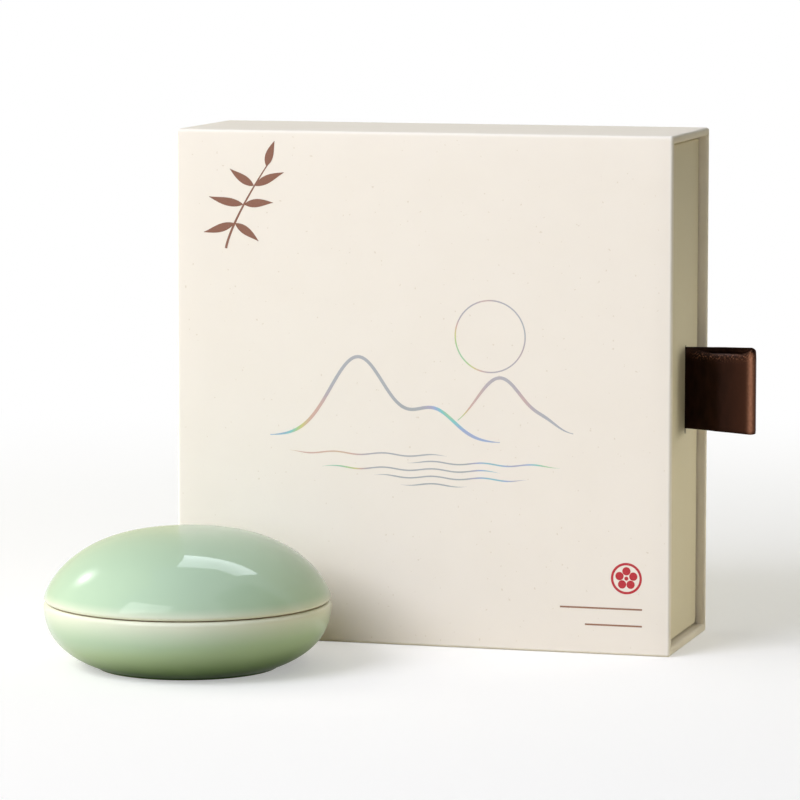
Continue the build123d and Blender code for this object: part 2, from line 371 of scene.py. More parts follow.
@dataclass(frozen=True)
class Satin(Finish):
    """Polyester satin ribbon: long floats across the band and a dull edge where it is woven tighter."""

    # bright is painted sheen, the next colour painted light near the fold, the one after a painted highlight
    bright: Colour = (0.030, 0.011, 0.0065)
    painted_light_colour: Colour = (0.052, 0.019, 0.010)
    painted_highlight: Colour = (0.40, 0.18, 0.105)
    thread_size: float = 0.35 * MM
    shimmer_size: float = 2.2 * MM
    glint_size: float = 0.42 * MM
    highlight_mottle_size: float = 0.6 * MM
    rib_pitch: float = 0.5 * MM
    depth: float = 0.03 * MM

    def paint(self, tree: Tree) -> None:
        """Threads and a painted shimmer follow the band, through the values run and across of its vertices.

        Args:
            tree: the material's nodes.
        """
        run = tree.painted("run")
        across = tree.painted("across")
        along = tree.field("ShaderNodeCombineXYZ", {}, {0: run, 1: across})
        threads = tree.noise(along, self.thread_size, 2.0, (1.0, 0.12, 1.0))
        # painted sheen: shimmer lightens the colour in patches along the band
        shimmer = tree.noise(along, self.shimmer_size, 3.0, (1.0, 0.35, 1.0)).rise(0.3, 0.75)
        edge = tree.painted("selvedge")
        glints = tree.noise(along, self.glint_size, 2.0, (1.0, 0.7, 1.0)).rise(0.5, 0.68)
        # painted highlight along the fold's crease, mottled; pucker adds painted glints on the curled edge
        crease = tree.painted("crease") * (0.45 + tree.noise(along, self.highlight_mottle_size, 3.0, (1.0, 0.6, 1.0)))
        pucker = tree.painted("pucker")
        colour = tree.blend(shimmer * 0.6, self.colour, self.bright)
        # painted light: a broad lighter brown towards the fold
        colour = tree.blend(tree.painted("painted_light"), colour, self.painted_light_colour)
        colour = tree.blend(crease * 0.8 + pucker * glints * 0.6, colour, self.painted_highlight)
        colour = tree.blend(edge * 0.5, colour, shaded(self.colour, 1.5))
        ribs = (run * (2 * math.pi / self.rib_pitch)).wave() * edge
        tree.finish({
            "Base Color": colour,
            "Metallic": 0.7,
            "Roughness": 0.3 + threads * 0.12 + edge * 0.25 + pucker * 0.25,
            "Specular IOR Level": 0.1,
            "Normal": tree.bump(threads * 0.6 + ribs * 0.5 + pucker * glints * 1.5, self.depth),
        })


@dataclass(frozen=True)
class Celadon(Finish):
    """Thick pale green glaze over porcelain: thin and creamy at the lips, bare and toasted on the seats."""

    thin: Colour = (0.82, 0.82, 0.67)
    pooled_and_shade: Colour = (0.43, 0.585, 0.36)
    deep_and_shade: Colour = (0.09, 0.165, 0.055)
    bare: Colour = (0.50, 0.33, 0.22)
    drift_size: float = 18 * MM
    grain_size: float = 0.3 * MM
    peel_size: float = 3.5 * MM
    depth: float = 0.03 * MM
    gloss: float = 0.75

    def paint(self, tree: Tree) -> None:
        """The values thin and bare of the vertices say how thick the glaze lies; the third darkens it towards the
        foot and up one side, partly pooled glaze, partly painted shade.

        Args:
            tree: the material's nodes.
        """
        place = tree.place()
        drift = tree.noise(place, self.drift_size, 2.0)
        thin = tree.painted("thin")
        bare = tree.painted("bare")
        deep_and_shade = tree.painted("deep_and_shade")
        # darker towards the foot and up the +X side: partly pooled glaze, partly painted shade
        colour = tree.blend(deep_and_shade.rise(0.0, 0.35), self.colour, self.pooled_and_shade)
        colour = tree.blend(deep_and_shade.rise(0.2, 1.0) * (0.75 + drift * 0.5), colour, self.deep_and_shade)
        colour = tree.blend((thin + (drift - 0.5) * thin * 0.5).or_more(0.0), colour, self.thin)
        grain = tree.noise(place, self.grain_size, 3.0)
        colour = tree.blend(bare, colour, tree.blend(grain, self.bare, shaded(self.bare, 1.3)))
        peel = tree.noise(place, self.peel_size, 2.0)
        tree.finish({
            "Base Color": colour,
            "Roughness": 0.28 + bare * 0.5,
            "Coat Weight": (1.0 - bare) * (1.0 - deep_and_shade.rise(0.0, 0.75)) * self.gloss,
            "Coat Roughness": 0.025,
            "Coat IOR": 1.52,
            "IOR": 1.12,
            "Specular IOR Level": 0.12,
            "Normal": tree.bump(peel * (1.0 - bare) + bare * grain, self.depth),
        })


@dataclass(frozen=True)
class Paste(Finish):
    """Seal paste: vermilion and oil worked into fibre, so damp ridges over a matt body."""

    dark: Colour = (0.36, 0.015, 0.01)
    fibre_size: float = 0.7 * MM
    lump_size: float = 3.0 * MM
    depth: float = 0.25 * MM

    def paint(self, tree: Tree) -> None:
        """Fibres over the stirred ridges.

        Args:
            tree: the material's nodes.
        """
        place = tree.place()
        fibre = tree.noise(place, self.fibre_size, 5.0)
        lumps = tree.noise(place, self.lump_size, 3.0)
        colour = tree.blend(lumps.rise(0.35, 0.7) * 0.5 + fibre * 0.3, self.colour, self.dark)
        tree.finish({
            "Base Color": colour,
            "Roughness": 0.3 + fibre * 0.35,
            "Specular IOR Level": 0.5,
            "Coat Weight": 0.35,
            "Coat Roughness": 0.2,
            "Normal": tree.bump(fibre + lumps * 0.5, self.depth),
        })


@dataclass(frozen=True)
class Foam(Finish):
    """Closed cell foam: fine cut cells."""

    cell_size: float = 0.55 * MM
    shade_size: float = 4 * MM
    depth: float = 0.08 * MM

    def paint(self, tree: Tree) -> None:
        """Cell walls from a cell pattern, under a slow change of shade.

        Args:
            tree: the material's nodes.
        """
        place = tree.place()
        cells = {"Vector": place, "Scale": 1.0 / self.cell_size}
        edge = tree.field("ShaderNodeTexVoronoi", {"feature": "DISTANCE_TO_EDGE"}, cells, "Distance").rise(0.0, 0.3)
        shade = tree.noise(place, self.shade_size, 2.0)
        colour = tree.blend(edge * 0.5 + shade * 0.3, shaded(self.colour, 0.86), self.colour)
        tree.finish({
            "Base Color": colour,
            "Roughness": 0.75 + edge * 0.15,
            "Specular IOR Level": 0.3,
            "Normal": tree.bump(edge, self.depth),
        })


@dataclass(frozen=True)
class Foil(Finish):
    """Rainbow hot foil: a bright metal film whose hue drifts along the drawing."""

    hues: tuple[tuple[float, Colour], ...] = (
        (0.00, (0.43, 0.43, 0.46)),
        (0.40, (0.40, 0.42, 0.43)),
        (0.49, (0.42, 0.39, 0.52)),
        (0.56, (0.32, 0.43, 0.66)),
        (0.63, (0.20, 0.58, 0.56)),
        (0.70, (0.42, 0.62, 0.26)),
        (0.76, (0.64, 0.60, 0.22)),
        (0.83, (0.66, 0.42, 0.34)),
        (0.91, (0.48, 0.41, 0.44)),
        (1.00, (0.43, 0.43, 0.46)),
    )
    drift: float = 48 * MM
    bend_size: float = 22 * MM
    bend: float = 1.2
    grain_size: float = 0.25 * MM
    sheen_size: float = 0.4 * MM

    def paint(self, tree: Tree) -> None:
        """The place on the drawing, bent by slow noise, picks the hue.

        Args:
            tree: the material's nodes.
        """
        place = tree.place()
        east, _, up = tree.axes(place)
        phase = (east * 0.8 + up * 0.5) / self.drift + tree.noise(place, self.bend_size, 1.0) * self.bend
        wrapped = tree.math("FRACT", phase)
        colour = tree.field("ShaderNodeValToRGB", {"stops": self.hues}, {"Fac": wrapped}, "Color")
        tree.finish({
            "Base Color": tree.blend(tree.noise(place, self.grain_size, 2.0) * 0.2, colour, self.colour),
            "Metallic": 0.6,
            "Roughness": 0.3 + tree.noise(place, self.sheen_size, 2.0) * 0.15,
        })


@dataclass(frozen=True)
class Ink(Finish):
    """Printed ink that the paper's tooth shows through."""

    tooth_size: float = 0.3 * MM
    depth: float = 0.01 * MM

    def paint(self, tree: Tree) -> None:
        """A little paper shows where the tooth stands up.

        Args:
            tree: the material's nodes.
        """
        place = tree.place()
        tooth = tree.noise(place, self.tooth_size, 3.0)
        pale = tuple(0.75 * c + 0.2 for c in self.colour)
        tree.finish({
            "Base Color": tree.blend(tooth.rise(0.55, 0.85) * 0.5, self.colour, pale),
            "Roughness": 0.45 + tooth * 0.2,
            "Normal": tree.bump(tooth, self.depth),
        })


# Meshes worked out as arrays


def grid_faces(rows: int, columns: int, close_rows: bool = False, close_columns: bool = False) -> Points:
    """Quads of a grid of points, numbered row by row.

    Args:
        rows: how many rows of points there are.
        columns: how many points a row has.
        close_rows: whether the last row joins the first.
        close_columns: whether each row's end joins its start.

    Returns:
        One line of four vertex numbers for each quad.
    """
    row = np.arange(rows if close_rows else rows - 1)[:, None]
    column = np.arange(columns if close_columns else columns - 1)[None, :]
    below, right = (row + 1) % rows, (column + 1) % columns
    corners = (row * columns + column, row * columns + right, below * columns + right, below * columns + column)
    return np.stack(corners, axis=-1).reshape(-1, 4)


def enclosed(points: Points, quads: Points) -> float:
    """Signed volume inside the quads, each cut into two triangles: a sixth of the sum of the triple products."""
    a, b, c, d = (points[quads[:, index]] for index in range(4))
    return float((np.einsum("ij,ij->i", a, np.cross(b, c)) + np.einsum("ij,ij->i", a, np.cross(c, d))).sum() / 6)


def new_piece(
    name: str,
    points: Points,
    quads: Points,
    values: dict[str, Points] | None = None,
    crease: float = 38.0,
) -> bpy.types.Object:
    """Makes a closed piece from points and quads, facing outwards, with coinciding points joined.

    Args:
        name: the piece's name.
        points: one row of three coordinates for each vertex.
        quads: four vertex numbers for each face.
        values: numbers for every vertex, by name, which the finish reads.
        crease: the angle, in degrees, past which an edge is shaded sharp.

    Returns:
        The object, at the origin.
    """
    points = np.asarray(points, float).reshape(-1, 3)
    if enclosed(points - points.mean(axis=0), quads) < 0:
        quads = quads[:, ::-1]
    mesh = bpy.data.meshes.new(name)
    mesh.vertices.add(len(points))
    mesh.vertices.foreach_set("co", points.ravel())
    mesh.loops.add(quads.size)
    mesh.loops.foreach_set("vertex_index", quads.ravel())
    mesh.polygons.add(len(quads))
    mesh.polygons.foreach_set("loop_start", np.arange(0, quads.size, 4))
    mesh.update(calc_edges=True)
    for label, numbers in (values or {}).items():
        mesh.attributes.new(label, "FLOAT", "POINT").data.foreach_set("value", np.ravel(numbers))
    joined = bmesh.new()
    joined.from_mesh(mesh)
    bmesh.ops.remove_doubles(joined, verts=joined.verts, dist=JOIN_WITHIN)
    joined.to_mesh(mesh)
    joined.free()
    mesh.shade_smooth()
    mesh.set_sharp_from_angle(angle=math.radians(crease))
    mesh.validate()
    piece = bpy.data.objects.new(name, mesh)
    bpy.context.scene.collection.objects.link(piece)
    return piece


def around(centre: Sequence[float], turn: Points, radii: Points, level: Points, upright: bool = True) -> Points:
    """Points of rings about an axis: centre plus radius times (cosine, sine), at each ring's level.

    Args:
        centre: the two coordinates of the axis.
        turn: the angles of the points in a ring.
        radii: one row of radii for each ring, or one number for each.
        level: where each ring lies along the axis.
        upright: whether the axis is along Z, and otherwise along Y.

    Returns:
        The points, ring after ring.
    """
    radii = np.broadcast_to(np.atleast_2d(radii.T).T, (len(level), len(turn)))
    first = centre[0] + radii * np.cos(turn)
    second = centre[1] + radii * np.sin(turn)
    third = np.broadcast_to(np.asarray(level)[:, None], radii.shape)
    return np.stack((first, second, third) if upright else (first, third, second), axis=-1).reshape(-1, 3)


def thick_sheet(
    name: str,
    outer: Points,
    inner: Points,
    values: dict[str, Points] | None = None,
    folded: bool = False,
) -> bpy.types.Object:
    """Closes two grids of points, a sheet's two faces, into one solid with an edge all round.

    Args:
        name: the piece's name.
        outer: rows by columns by three.
        inner: the other face, point for point.
        values: numbers for the points of one face, by name.
        folded: whether the first row is doubled over on itself, so that it has no edge.

    Returns:
        The piece.
    """
    rows, columns = outer.shape[:2]
    loop = np.concatenate((outer, inner[::-1])).reshape(-1, 3)
    quads = grid_faces(2 * rows, columns, close_rows=not folded)
    row = np.arange(rows - 1)
    opposite = 2 * rows - 1 - row
    ends = []
    for column in (0, columns - 1):
        ring = (row, row + 1, opposite - 1, opposite)
        ends.append(np.stack([part * columns + column for part in ring], axis=-1))
    quads = np.concatenate((quads, ends[0], ends[1][:, ::-1]))
    both = {key: np.concatenate((grid, grid[::-1])) for key, grid in (values or {}).items()}
    return new_piece(name, loop, quads, both)


def quarter(centre: tuple[float, float], radius: float, start: float, end: float, steps: int = 8) -> Points:
    """Points of an arc: centre plus radius times (cosine, sine), with the angles in degrees."""
    turn = np.radians(np.linspace(start, end, steps + 1))
    return np.stack((centre[0] + radius * np.cos(turn), centre[1] + radius * np.sin(turn)), axis=-1)


def run_between(*points: tuple[float, float], steps: int = 6) -> Points:
    """Points along straight lines from each point to the next, evenly spaced."""
    spans = [np.linspace(a, b, steps, endpoint=False) for a, b in zip(points, points[1:])]
    return np.concatenate((*spans, [points[-1]]))


def dress(piece: bpy.types.Object, finish: Finish, body: str, *nodes: str) -> bpy.types.Object:
    """Gives a new piece its finish, its body and the solids that it stands for.

    Args:
        piece: the new object.
        finish: what covers it.
        body: the body that it rides on.
        nodes: the solids that it replaces.

    Returns:
        The same object.
    """
    piece.data.materials.append(finish.material())
    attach(piece, body)
    if nodes:
        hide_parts(*nodes)
    log.info("%s: %d faces, rides on %s", piece.name, len(piece.data.polygons), body)
    return piece


def refinish(finish: Finish, *nodes: str) -> None:
    """Gives solids of the frame, which stay as they are, a new finish.

    Args:
        finish: what covers them.
        nodes: their names.
    """
    for name in nodes:
        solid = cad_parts[name]
        for slot in solid.material_slots:
            slot.material = finish.material()
        log.info("%s: kept, finished in %s", name, finish.slot)


def span(*nodes: str) -> tuple[Vector, Vector]:
    """Lowest and highest corner of several solids together.

    Args:
        nodes: their names.

    Returns:
        The two corners.
    """
    boxes = [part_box(name) for name in nodes]
    low = Vector([min(box[0][axis] for box in boxes) for axis in range(3)])
    high = Vector([max(box[1][axis] for box in boxes) for axis in range(3)])
    return low, high


# The case


@dataclass
class Sleeve:
    """The outer case: greyboard covered with cream paper that is folded round the mouth, and a sheet under it."""

    board: float = 2.0 * MM
    paper: float = 0.2 * MM
    edge_radius: float = 0.9 * MM
    turn_in: float = 15.0 * MM
    arc_steps: int = 8
    side_steps: int = 12
    end_steps: int = 10
    long_steps: int = 24
    turn_in_steps: int = 4
    low: Vector = field(init=False)
    high: Vector = field(init=False)

    def __post_init__(self) -> None:
        """Reads the case's corners from the frame."""
        self.low, self.high = span("sleeve_wrap_paper", "sleeve_base_paper")

    def build(self) -> None:
        """Makes both coverings and finishes the boards and the lining."""
        cover = Paper(
            "cover_paper",
            (0.885, 0.822, 0.738),
            # The case's half sizes and middle place the painted highlight along its edges.
            half_sizes=tuple((self.high - self.low) / 2),
            middle=tuple((self.high + self.low) / 2),
        )
        outer, inner = (self.cover_rows(*self.stations(depth, False)) for depth in (0.0, self.paper))
        dress(thick_sheet("case_cover_sheet", outer, inner, folded=True), cover, "case", "sleeve_wrap_paper")
        outer, inner = (self.base_rows(*self.stations(depth, True)) for depth in (0.0, self.paper))
        dress(thick_sheet("case_base_sheet", outer, inner), cover, "case", "sleeve_base_paper")
        boards = [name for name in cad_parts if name.startswith("sleeve_") and name.endswith("board")]
        refinish(GREYBOARD, *sorted(boards))
        refinish(Paper("lining_paper", (0.74, 0.68, 0.55), cloud=(0.70, 0.63, 0.49)), "sleeve_lining_paper")

    def stations(self, depth: float, from_edge: bool) -> tuple[Points, Points]:
        """The sheet's section from the closed end to the end of the turn-in, as (place along X, inset) pairs.

        Args:
            depth: how far below the outer face this face of the sheet lies.
            from_edge: whether it starts at the closed end's edge, and not in the middle of that end.

        Returns:
            The places along X and the insets from the outer sides.
        """
        near, far, radius = self.low.x, self.high.x, self.edge_radius
        wall = self.board + 2 * self.paper
        curve = radius - depth
        middle = (self.high.y - self.low.y) / 2
        end_face = run_between((near + depth, middle), (near + depth, radius), steps=self.end_steps)
        parts = [
            end_face[-1:] if from_edge else end_face,
            quarter((near + radius, radius), curve, 180, 270, self.arc_steps),
            run_between((near + radius, depth), (far - radius, depth), steps=self.long_steps),
            quarter((far - radius, radius), curve, 270, 360, self.arc_steps),
            quarter((far - radius, wall - radius), curve, 0, 90, self.arc_steps),
            run_between((far - radius, wall - depth), (far - self.turn_in, wall - depth), steps=self.turn_in_steps),
        ]
        section = np.concatenate(parts)
        return section[:, 0], section[:, 1]

    def cover_rows(self, along: Points, inset: Points) -> Points:
        """For each station, a line up the front, over the top and down the back of a rounded rectangle.

        The rectangle is the case's outline drawn in by the inset, and its corners' radius is what the inset leaves.

        Args:
            along: each station's place along X.
            inset: how far its line lies inside the case's sides.

        Returns:
            Stations by points by three.
        """
        half = (self.high.y - self.low.y) / 2 - inset
        radius = np.minimum(np.maximum(self.edge_radius - inset, 0), half)
        top = self.high.z - inset
        start = np.where(along > 0, np.maximum(inset, self.edge_radius), self.edge_radius)
        share = np.linspace(0, 1, self.side_steps + 1)
        turn = np.linspace(np.pi, np.pi / 2, self.arc_steps + 1)
        rise = start[:, None] + share * (top - radius - start)[:, None]
        front = np.stack((np.broadcast_to(-half[:, None], rise.shape), rise), axis=-1)
        centre, corner = (radius - half)[:, None], (top - radius)[:, None]
        arc = np.stack((centre + radius[:, None] * np.cos(turn), corner + radius[:, None] * np.sin(turn)), axis=-1)
        flat = centre * (1 - 2 * share)
        over = np.stack((flat, np.broadcast_to(top[:, None], flat.shape)), axis=-1)
        line = np.concatenate((front, arc, over), axis=1)
        back = line[:, :self.side_steps + self.arc_steps + 2][:, ::-1] * (-1, 1)
        line = np.concatenate((line, back), axis=1)
        return np.concatenate((np.broadcast_to(along[:, None, None], (*line.shape[:2], 1)), line), axis=-1)

    def base_rows(self, along: Points, inset: Points) -> Points:
        """For each station, a line round the lower back corner, along the underside and round the front corner.

        Args:
            along: each station's place along X.
            inset: how far its line lies inside the case's sides.

        Returns:
            Stations by points by three.
        """
        half = (self.high.y - self.low.y) / 2 - inset
        radius = np.maximum(self.edge_radius - inset, 0)[:, None]
        centre = half[:, None] - radius
        share = np.linspace(0, 1, self.side_steps + 1)
        turn = np.linspace(0, -np.pi / 2, self.arc_steps + 1)
        lift = inset[:, None] + radius
        arc = np.stack((centre + radius * np.cos(turn), lift + radius * np.sin(turn)), axis=-1)
        flat = centre * (1 - 2 * share)
        under = np.stack((flat, np.broadcast_to(inset[:, None], flat.shape)), axis=-1)
        line = np.concatenate((arc, under, arc[:, ::-1] * (-1, 1)), axis=1)
        return np.concatenate((np.broadcast_to(along[:, None, None], (*line.shape[:2], 1)), line), axis=-1)


@dataclass
class Drawer:
    """The tray: thin board covered with tan paper."""

    def build(self) -> None:
        """Finishes the tray's boards and papers."""
        boards = [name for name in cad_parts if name.startswith("drawer_") and name.endswith("board")]
        refinish(GREYBOARD, *sorted(boards))
        tan = Paper("drawer_paper", (0.76, 0.70, 0.56), cloud=(0.72, 0.65, 0.50))
        refinish(tan, "drawer_wrap_paper", "drawer_lining_paper")


@dataclass
class Ribbon:
    """The pull: a satin band folded into a loop, through the slit, with its tails glued behind the end wall."""

    reach: float = 21.1 * MM
    thickness: float = 0.35 * MM
    layer_gap: float = 0.5 * MM
    bulge: float = 2.1 * MM
    fold: float = 1.3 * MM
    tail: float = 9.0 * MM
    tail_bend: float = 0.3 * MM
    wall: float = 2.0 * MM
    curl_zone: float = 4.2 * MM
    curl_turn: float = 1.75
    far_curl_turn: float = 0.25
    curl_begin: float = 0.35
    curl_end: float = 0.2
    curl_middle: float = 0.55
    corner: float = 1.9 * MM
    corner_fullness: float = 0.98
    corner_far: float = -0.7
    sag: float = 1.1 * MM
    sag_power: float = 1.6
    far_sag: float = 0.35
    pucker: float = 0.13 * MM
    pucker_zone: float = 2.6 * MM
    pucker_begin: float = 0.3
    far_pucker: float = 0.4
    slow_wave: float = 0.35
    ripples: int = 7
    ripple_lengths: tuple[float, float] = (2.2, 6.5)
    ripple_slant: float = 0.6
    # Place and width of the painted highlight along the fold's crease, and width of the broader painted light around
    # it.
    painted_highlight_place: float = 2.0 * MM
    painted_highlight_width: float = 0.85 * MM
    painted_light_width: float = 7.0 * MM
    bend_width: float = 1.2 * MM
    selvedge: float = 0.9 * MM
    selvedge_fade: float = 0.4 * MM
    lift: float = 0.5 * MM
    gather: float = 0.02
    run_points: int = 420
    across_points: int = 72
    seed: int = 11

    def build(self) -> None:
        line, side, distance = self.centreline()
        outer, inner, values = self.faces(line, side, distance)
        band = thick_sheet("satin_pull", outer, inner, values)
        finish = Satin("satin_ribbon", (0.0125, 0.0055, 0.0035))
        dress(band, finish, "drawer", "pull_ribbon")
        log.info("satin_pull: cut %.1f mm long", distance[-1] / MM)

    def centreline(self) -> tuple[Points, Points, Points]:
        """The band's middle line seen from above: straight runs joined by arcs, then eased by a short average.

        Returns:
            The points, the sideways direction at each and the distance along the line.
        """
        low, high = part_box("pull_ribbon")
        middle, tip = (low.y + high.y) / 2, high.x - self.thickness / 2
        exit_x = high.x - self.reach
        inside = exit_x - self.wall - self.thickness / 2
        half = (self.layer_gap + self.thickness) / 2
        near = [
            (inside, middle - half - self.tail),
            (inside, middle - half),
            (exit_x, middle - half),
            (exit_x + self.reach / 2, middle - self.bulge),
            (tip, middle - self.fold),
        ]
        far = [(x, 2 * middle - y) for x, y in reversed(near)]
        radii = [self.tail_bend, self.reach / 4, self.reach / 2, 0.9 * self.fold]
        points = rounded_line(near + far, radii + radii[::-1])
        steps = np.concatenate(([0], np.cumsum(np.linalg.norm(np.diff(points, axis=0), axis=1))))
        distance = np.linspace(0, steps[-1], self.run_points)
        line = np.stack([np.interp(distance, steps, points[:, axis]) for axis in range(2)], axis=-1)
        heading = np.gradient(line, distance, axis=0)
        heading /= np.linalg.norm(heading, axis=1)[:, None]
        return line, np.stack((heading[:, 1], -heading[:, 0]), axis=-1), distance

    def faces(self, line: Points, side: Points, distance: Points) -> tuple[Points, Points, dict[str, Points]]:
        """The band's two faces.

        A point stands at its height on the band. Towards the top edge of the near layer the band leans inwards by
        an angle that grows with the height, so its height and its lean are sums of the cosine and sine of that
        angle. The loop sags a little towards its tip, its corners there are rounded by a quarter circle times the
        cube of the height, and small waves run along the curled edge, with slower ones over the whole band.

        Args:
            line: the middle line's points, seen from above.
            side: the sideways direction at each.
            distance: the distance along the line at each.

        Returns:
            The outer face, the inner face, and the values that the finish reads, each on the same grid.
        """
        low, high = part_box("pull_ribbon")
        exit_x = high.x - self.reach
        width = high.z - low.z
        out = np.clip((line[:, 0] - exit_x) / self.reach, 0, 1)[:, None]
        is_near = (np.arange(len(line)) < len(line) / 2)[:, None]
        belly = np.sin(np.pi * np.clip(out * 1.02, 0, 1)) ** 0.8
        curled = np.clip(out / self.curl_begin, 0, 1) ** 0.8 * np.clip((1 - out) / self.curl_end, 0, 1) ** 0.5
        height = np.linspace(-width / 2, width / 2, self.across_points)[None, :]
        curl = np.clip((height - (width / 2 - self.curl_zone)) / self.curl_zone, 0, 1)
        lean = np.where(is_near, self.curl_turn, self.far_curl_turn) * curled * curl
        step = width / (self.across_points - 1)
        rise = np.cumsum(np.cos(lean), axis=1) * step
        rise += -width / 2 - rise[:, :1]
        inwards = np.cumsum(np.sin(lean), axis=1) * step
        inwards -= inwards[:, :1]
        sag = np.where(is_near, self.sag, self.sag * self.far_sag)
        drop = sag * out ** self.sag_power * (0.5 - height / width)
        tip = np.clip(1 - (1 - out) * self.reach / self.corner, 0, 1)
        round_off = (1 - np.sqrt(1 - self.corner_fullness * tip ** 2)) * self.corner
        ends = round_off * np.clip(height / (width / 2), self.corner_far, 1) ** 3
        gathered = rise * (1 - self.gather * (2 - out))
        upright = (low.z + high.z) / 2 + self.lift + gathered - drop - ends
        near_edge = np.exp(-((width / 2 - height) / self.pucker_zone) ** 2)
        waves = self.waves(distance[:, None], height) * belly * near_edge
        offset = waves * np.where(is_near, 1.0, self.far_pucker) - inwards
        offset += self.waves(distance[:, None] * self.slow_wave, height * 0.5 + 0.01) * self.slow_wave * belly
        middle = np.stack((
            line[:, :1] + side[:, :1] * offset,
            line[:, 1:] + side[:, 1:] * offset,
            upright,
        ), axis=-1)
        along = np.gradient(middle, axis=0)
        up = np.gradient(middle, axis=1)
        normal = np.cross(along, up)
        normal /= np.linalg.norm(normal, axis=-1, keepdims=True)
        half = normal * self.thickness / 2
        edge = np.clip((np.abs(height) - (width / 2 - self.selvedge)) / self.selvedge_fade, 0, 1)
        grid = np.ones_like(upright)
        # crease marks a painted highlight along the fold and the next value a broader painted light; pucker also
        # places painted glints on the curled edge
        fold = distance[:, None] - distance[-1] / 2
        crease = np.exp(-((fold + self.painted_highlight_place) / self.painted_highlight_width) ** 2)
        painted_light = np.exp(-((fold + self.painted_highlight_place) / self.painted_light_width) ** 2)
        bend = np.exp(-((height - width / 2 + self.curl_middle * self.curl_zone) / self.bend_width) ** 2)
        values = {
            "run": grid * distance[:, None],
            "across": grid * height,
            "selvedge": grid * edge,
            "crease": grid * crease,
            "painted_light": grid * painted_light,
            "pucker": grid * bend * np.clip(out / self.pucker_begin, 0, 1) * is_near,
        }
        return middle + half, middle - half, values

    def waves(self, run: Points, height: Points) -> Points:
        """Small ripples: a sum of sines along the band, each with its own length, slant and phase.

        Args:
            run: the distance along the band.
            height: the height on the band, from its middle.

        Returns:
            How far each point stands off the band.
        """
        chance = np.random.default_rng(self.seed)
        total = np.zeros(np.broadcast_shapes(run.shape, height.shape))
        for _ in range(self.ripples):
            length = chance.uniform(*self.ripple_lengths) * MM
            slant = chance.uniform(-self.ripple_slant, self.ripple_slant)
            total += np.sin(2 * np.pi * (run + slant * height) / length + chance.uniform(0, 2 * np.pi))
        return total / self.ripples ** 0.5 * self.pucker


def rounded_line(points: Sequence[tuple[float, float]], radii: Iterable[float], steps: int = 16) -> Points:
    """A line through corners, each cut by an arc that touches both of its sides.

    Args:
        points: the corners, with the two ends.
        radii: one radius for each corner between the ends.
        steps: how many pieces each arc has.

    Returns:
        The points of the line.
    """
    corners = np.asarray(points, float)
    parts = [corners[:1]]
    for before, corner, after, radius in zip(corners, corners[1:], corners[2:], radii):
        to_start = (before - corner) / np.linalg.norm(before - corner)
        to_end = (after - corner) / np.linalg.norm(after - corner)
        opening = math.acos(float(np.clip(to_start @ to_end, -1, 1)))
        centre = corner + (to_start + to_end) / np.linalg.norm(to_start + to_end) * radius / math.sin(opening / 2)
        reach = radius / math.tan(opening / 2)
        first, last = corner + to_start * reach - centre, corner + to_end * reach - centre
        turned = math.pi - opening
        share = np.linspace(0, 1, steps + 1)[:, None]
        arc = (np.sin((1 - share) * turned) * first + np.sin(share * turned) * last) / math.sin(turned)
        parts.append(centre + arc)
    return np.concatenate((*parts, corners[-1:]))


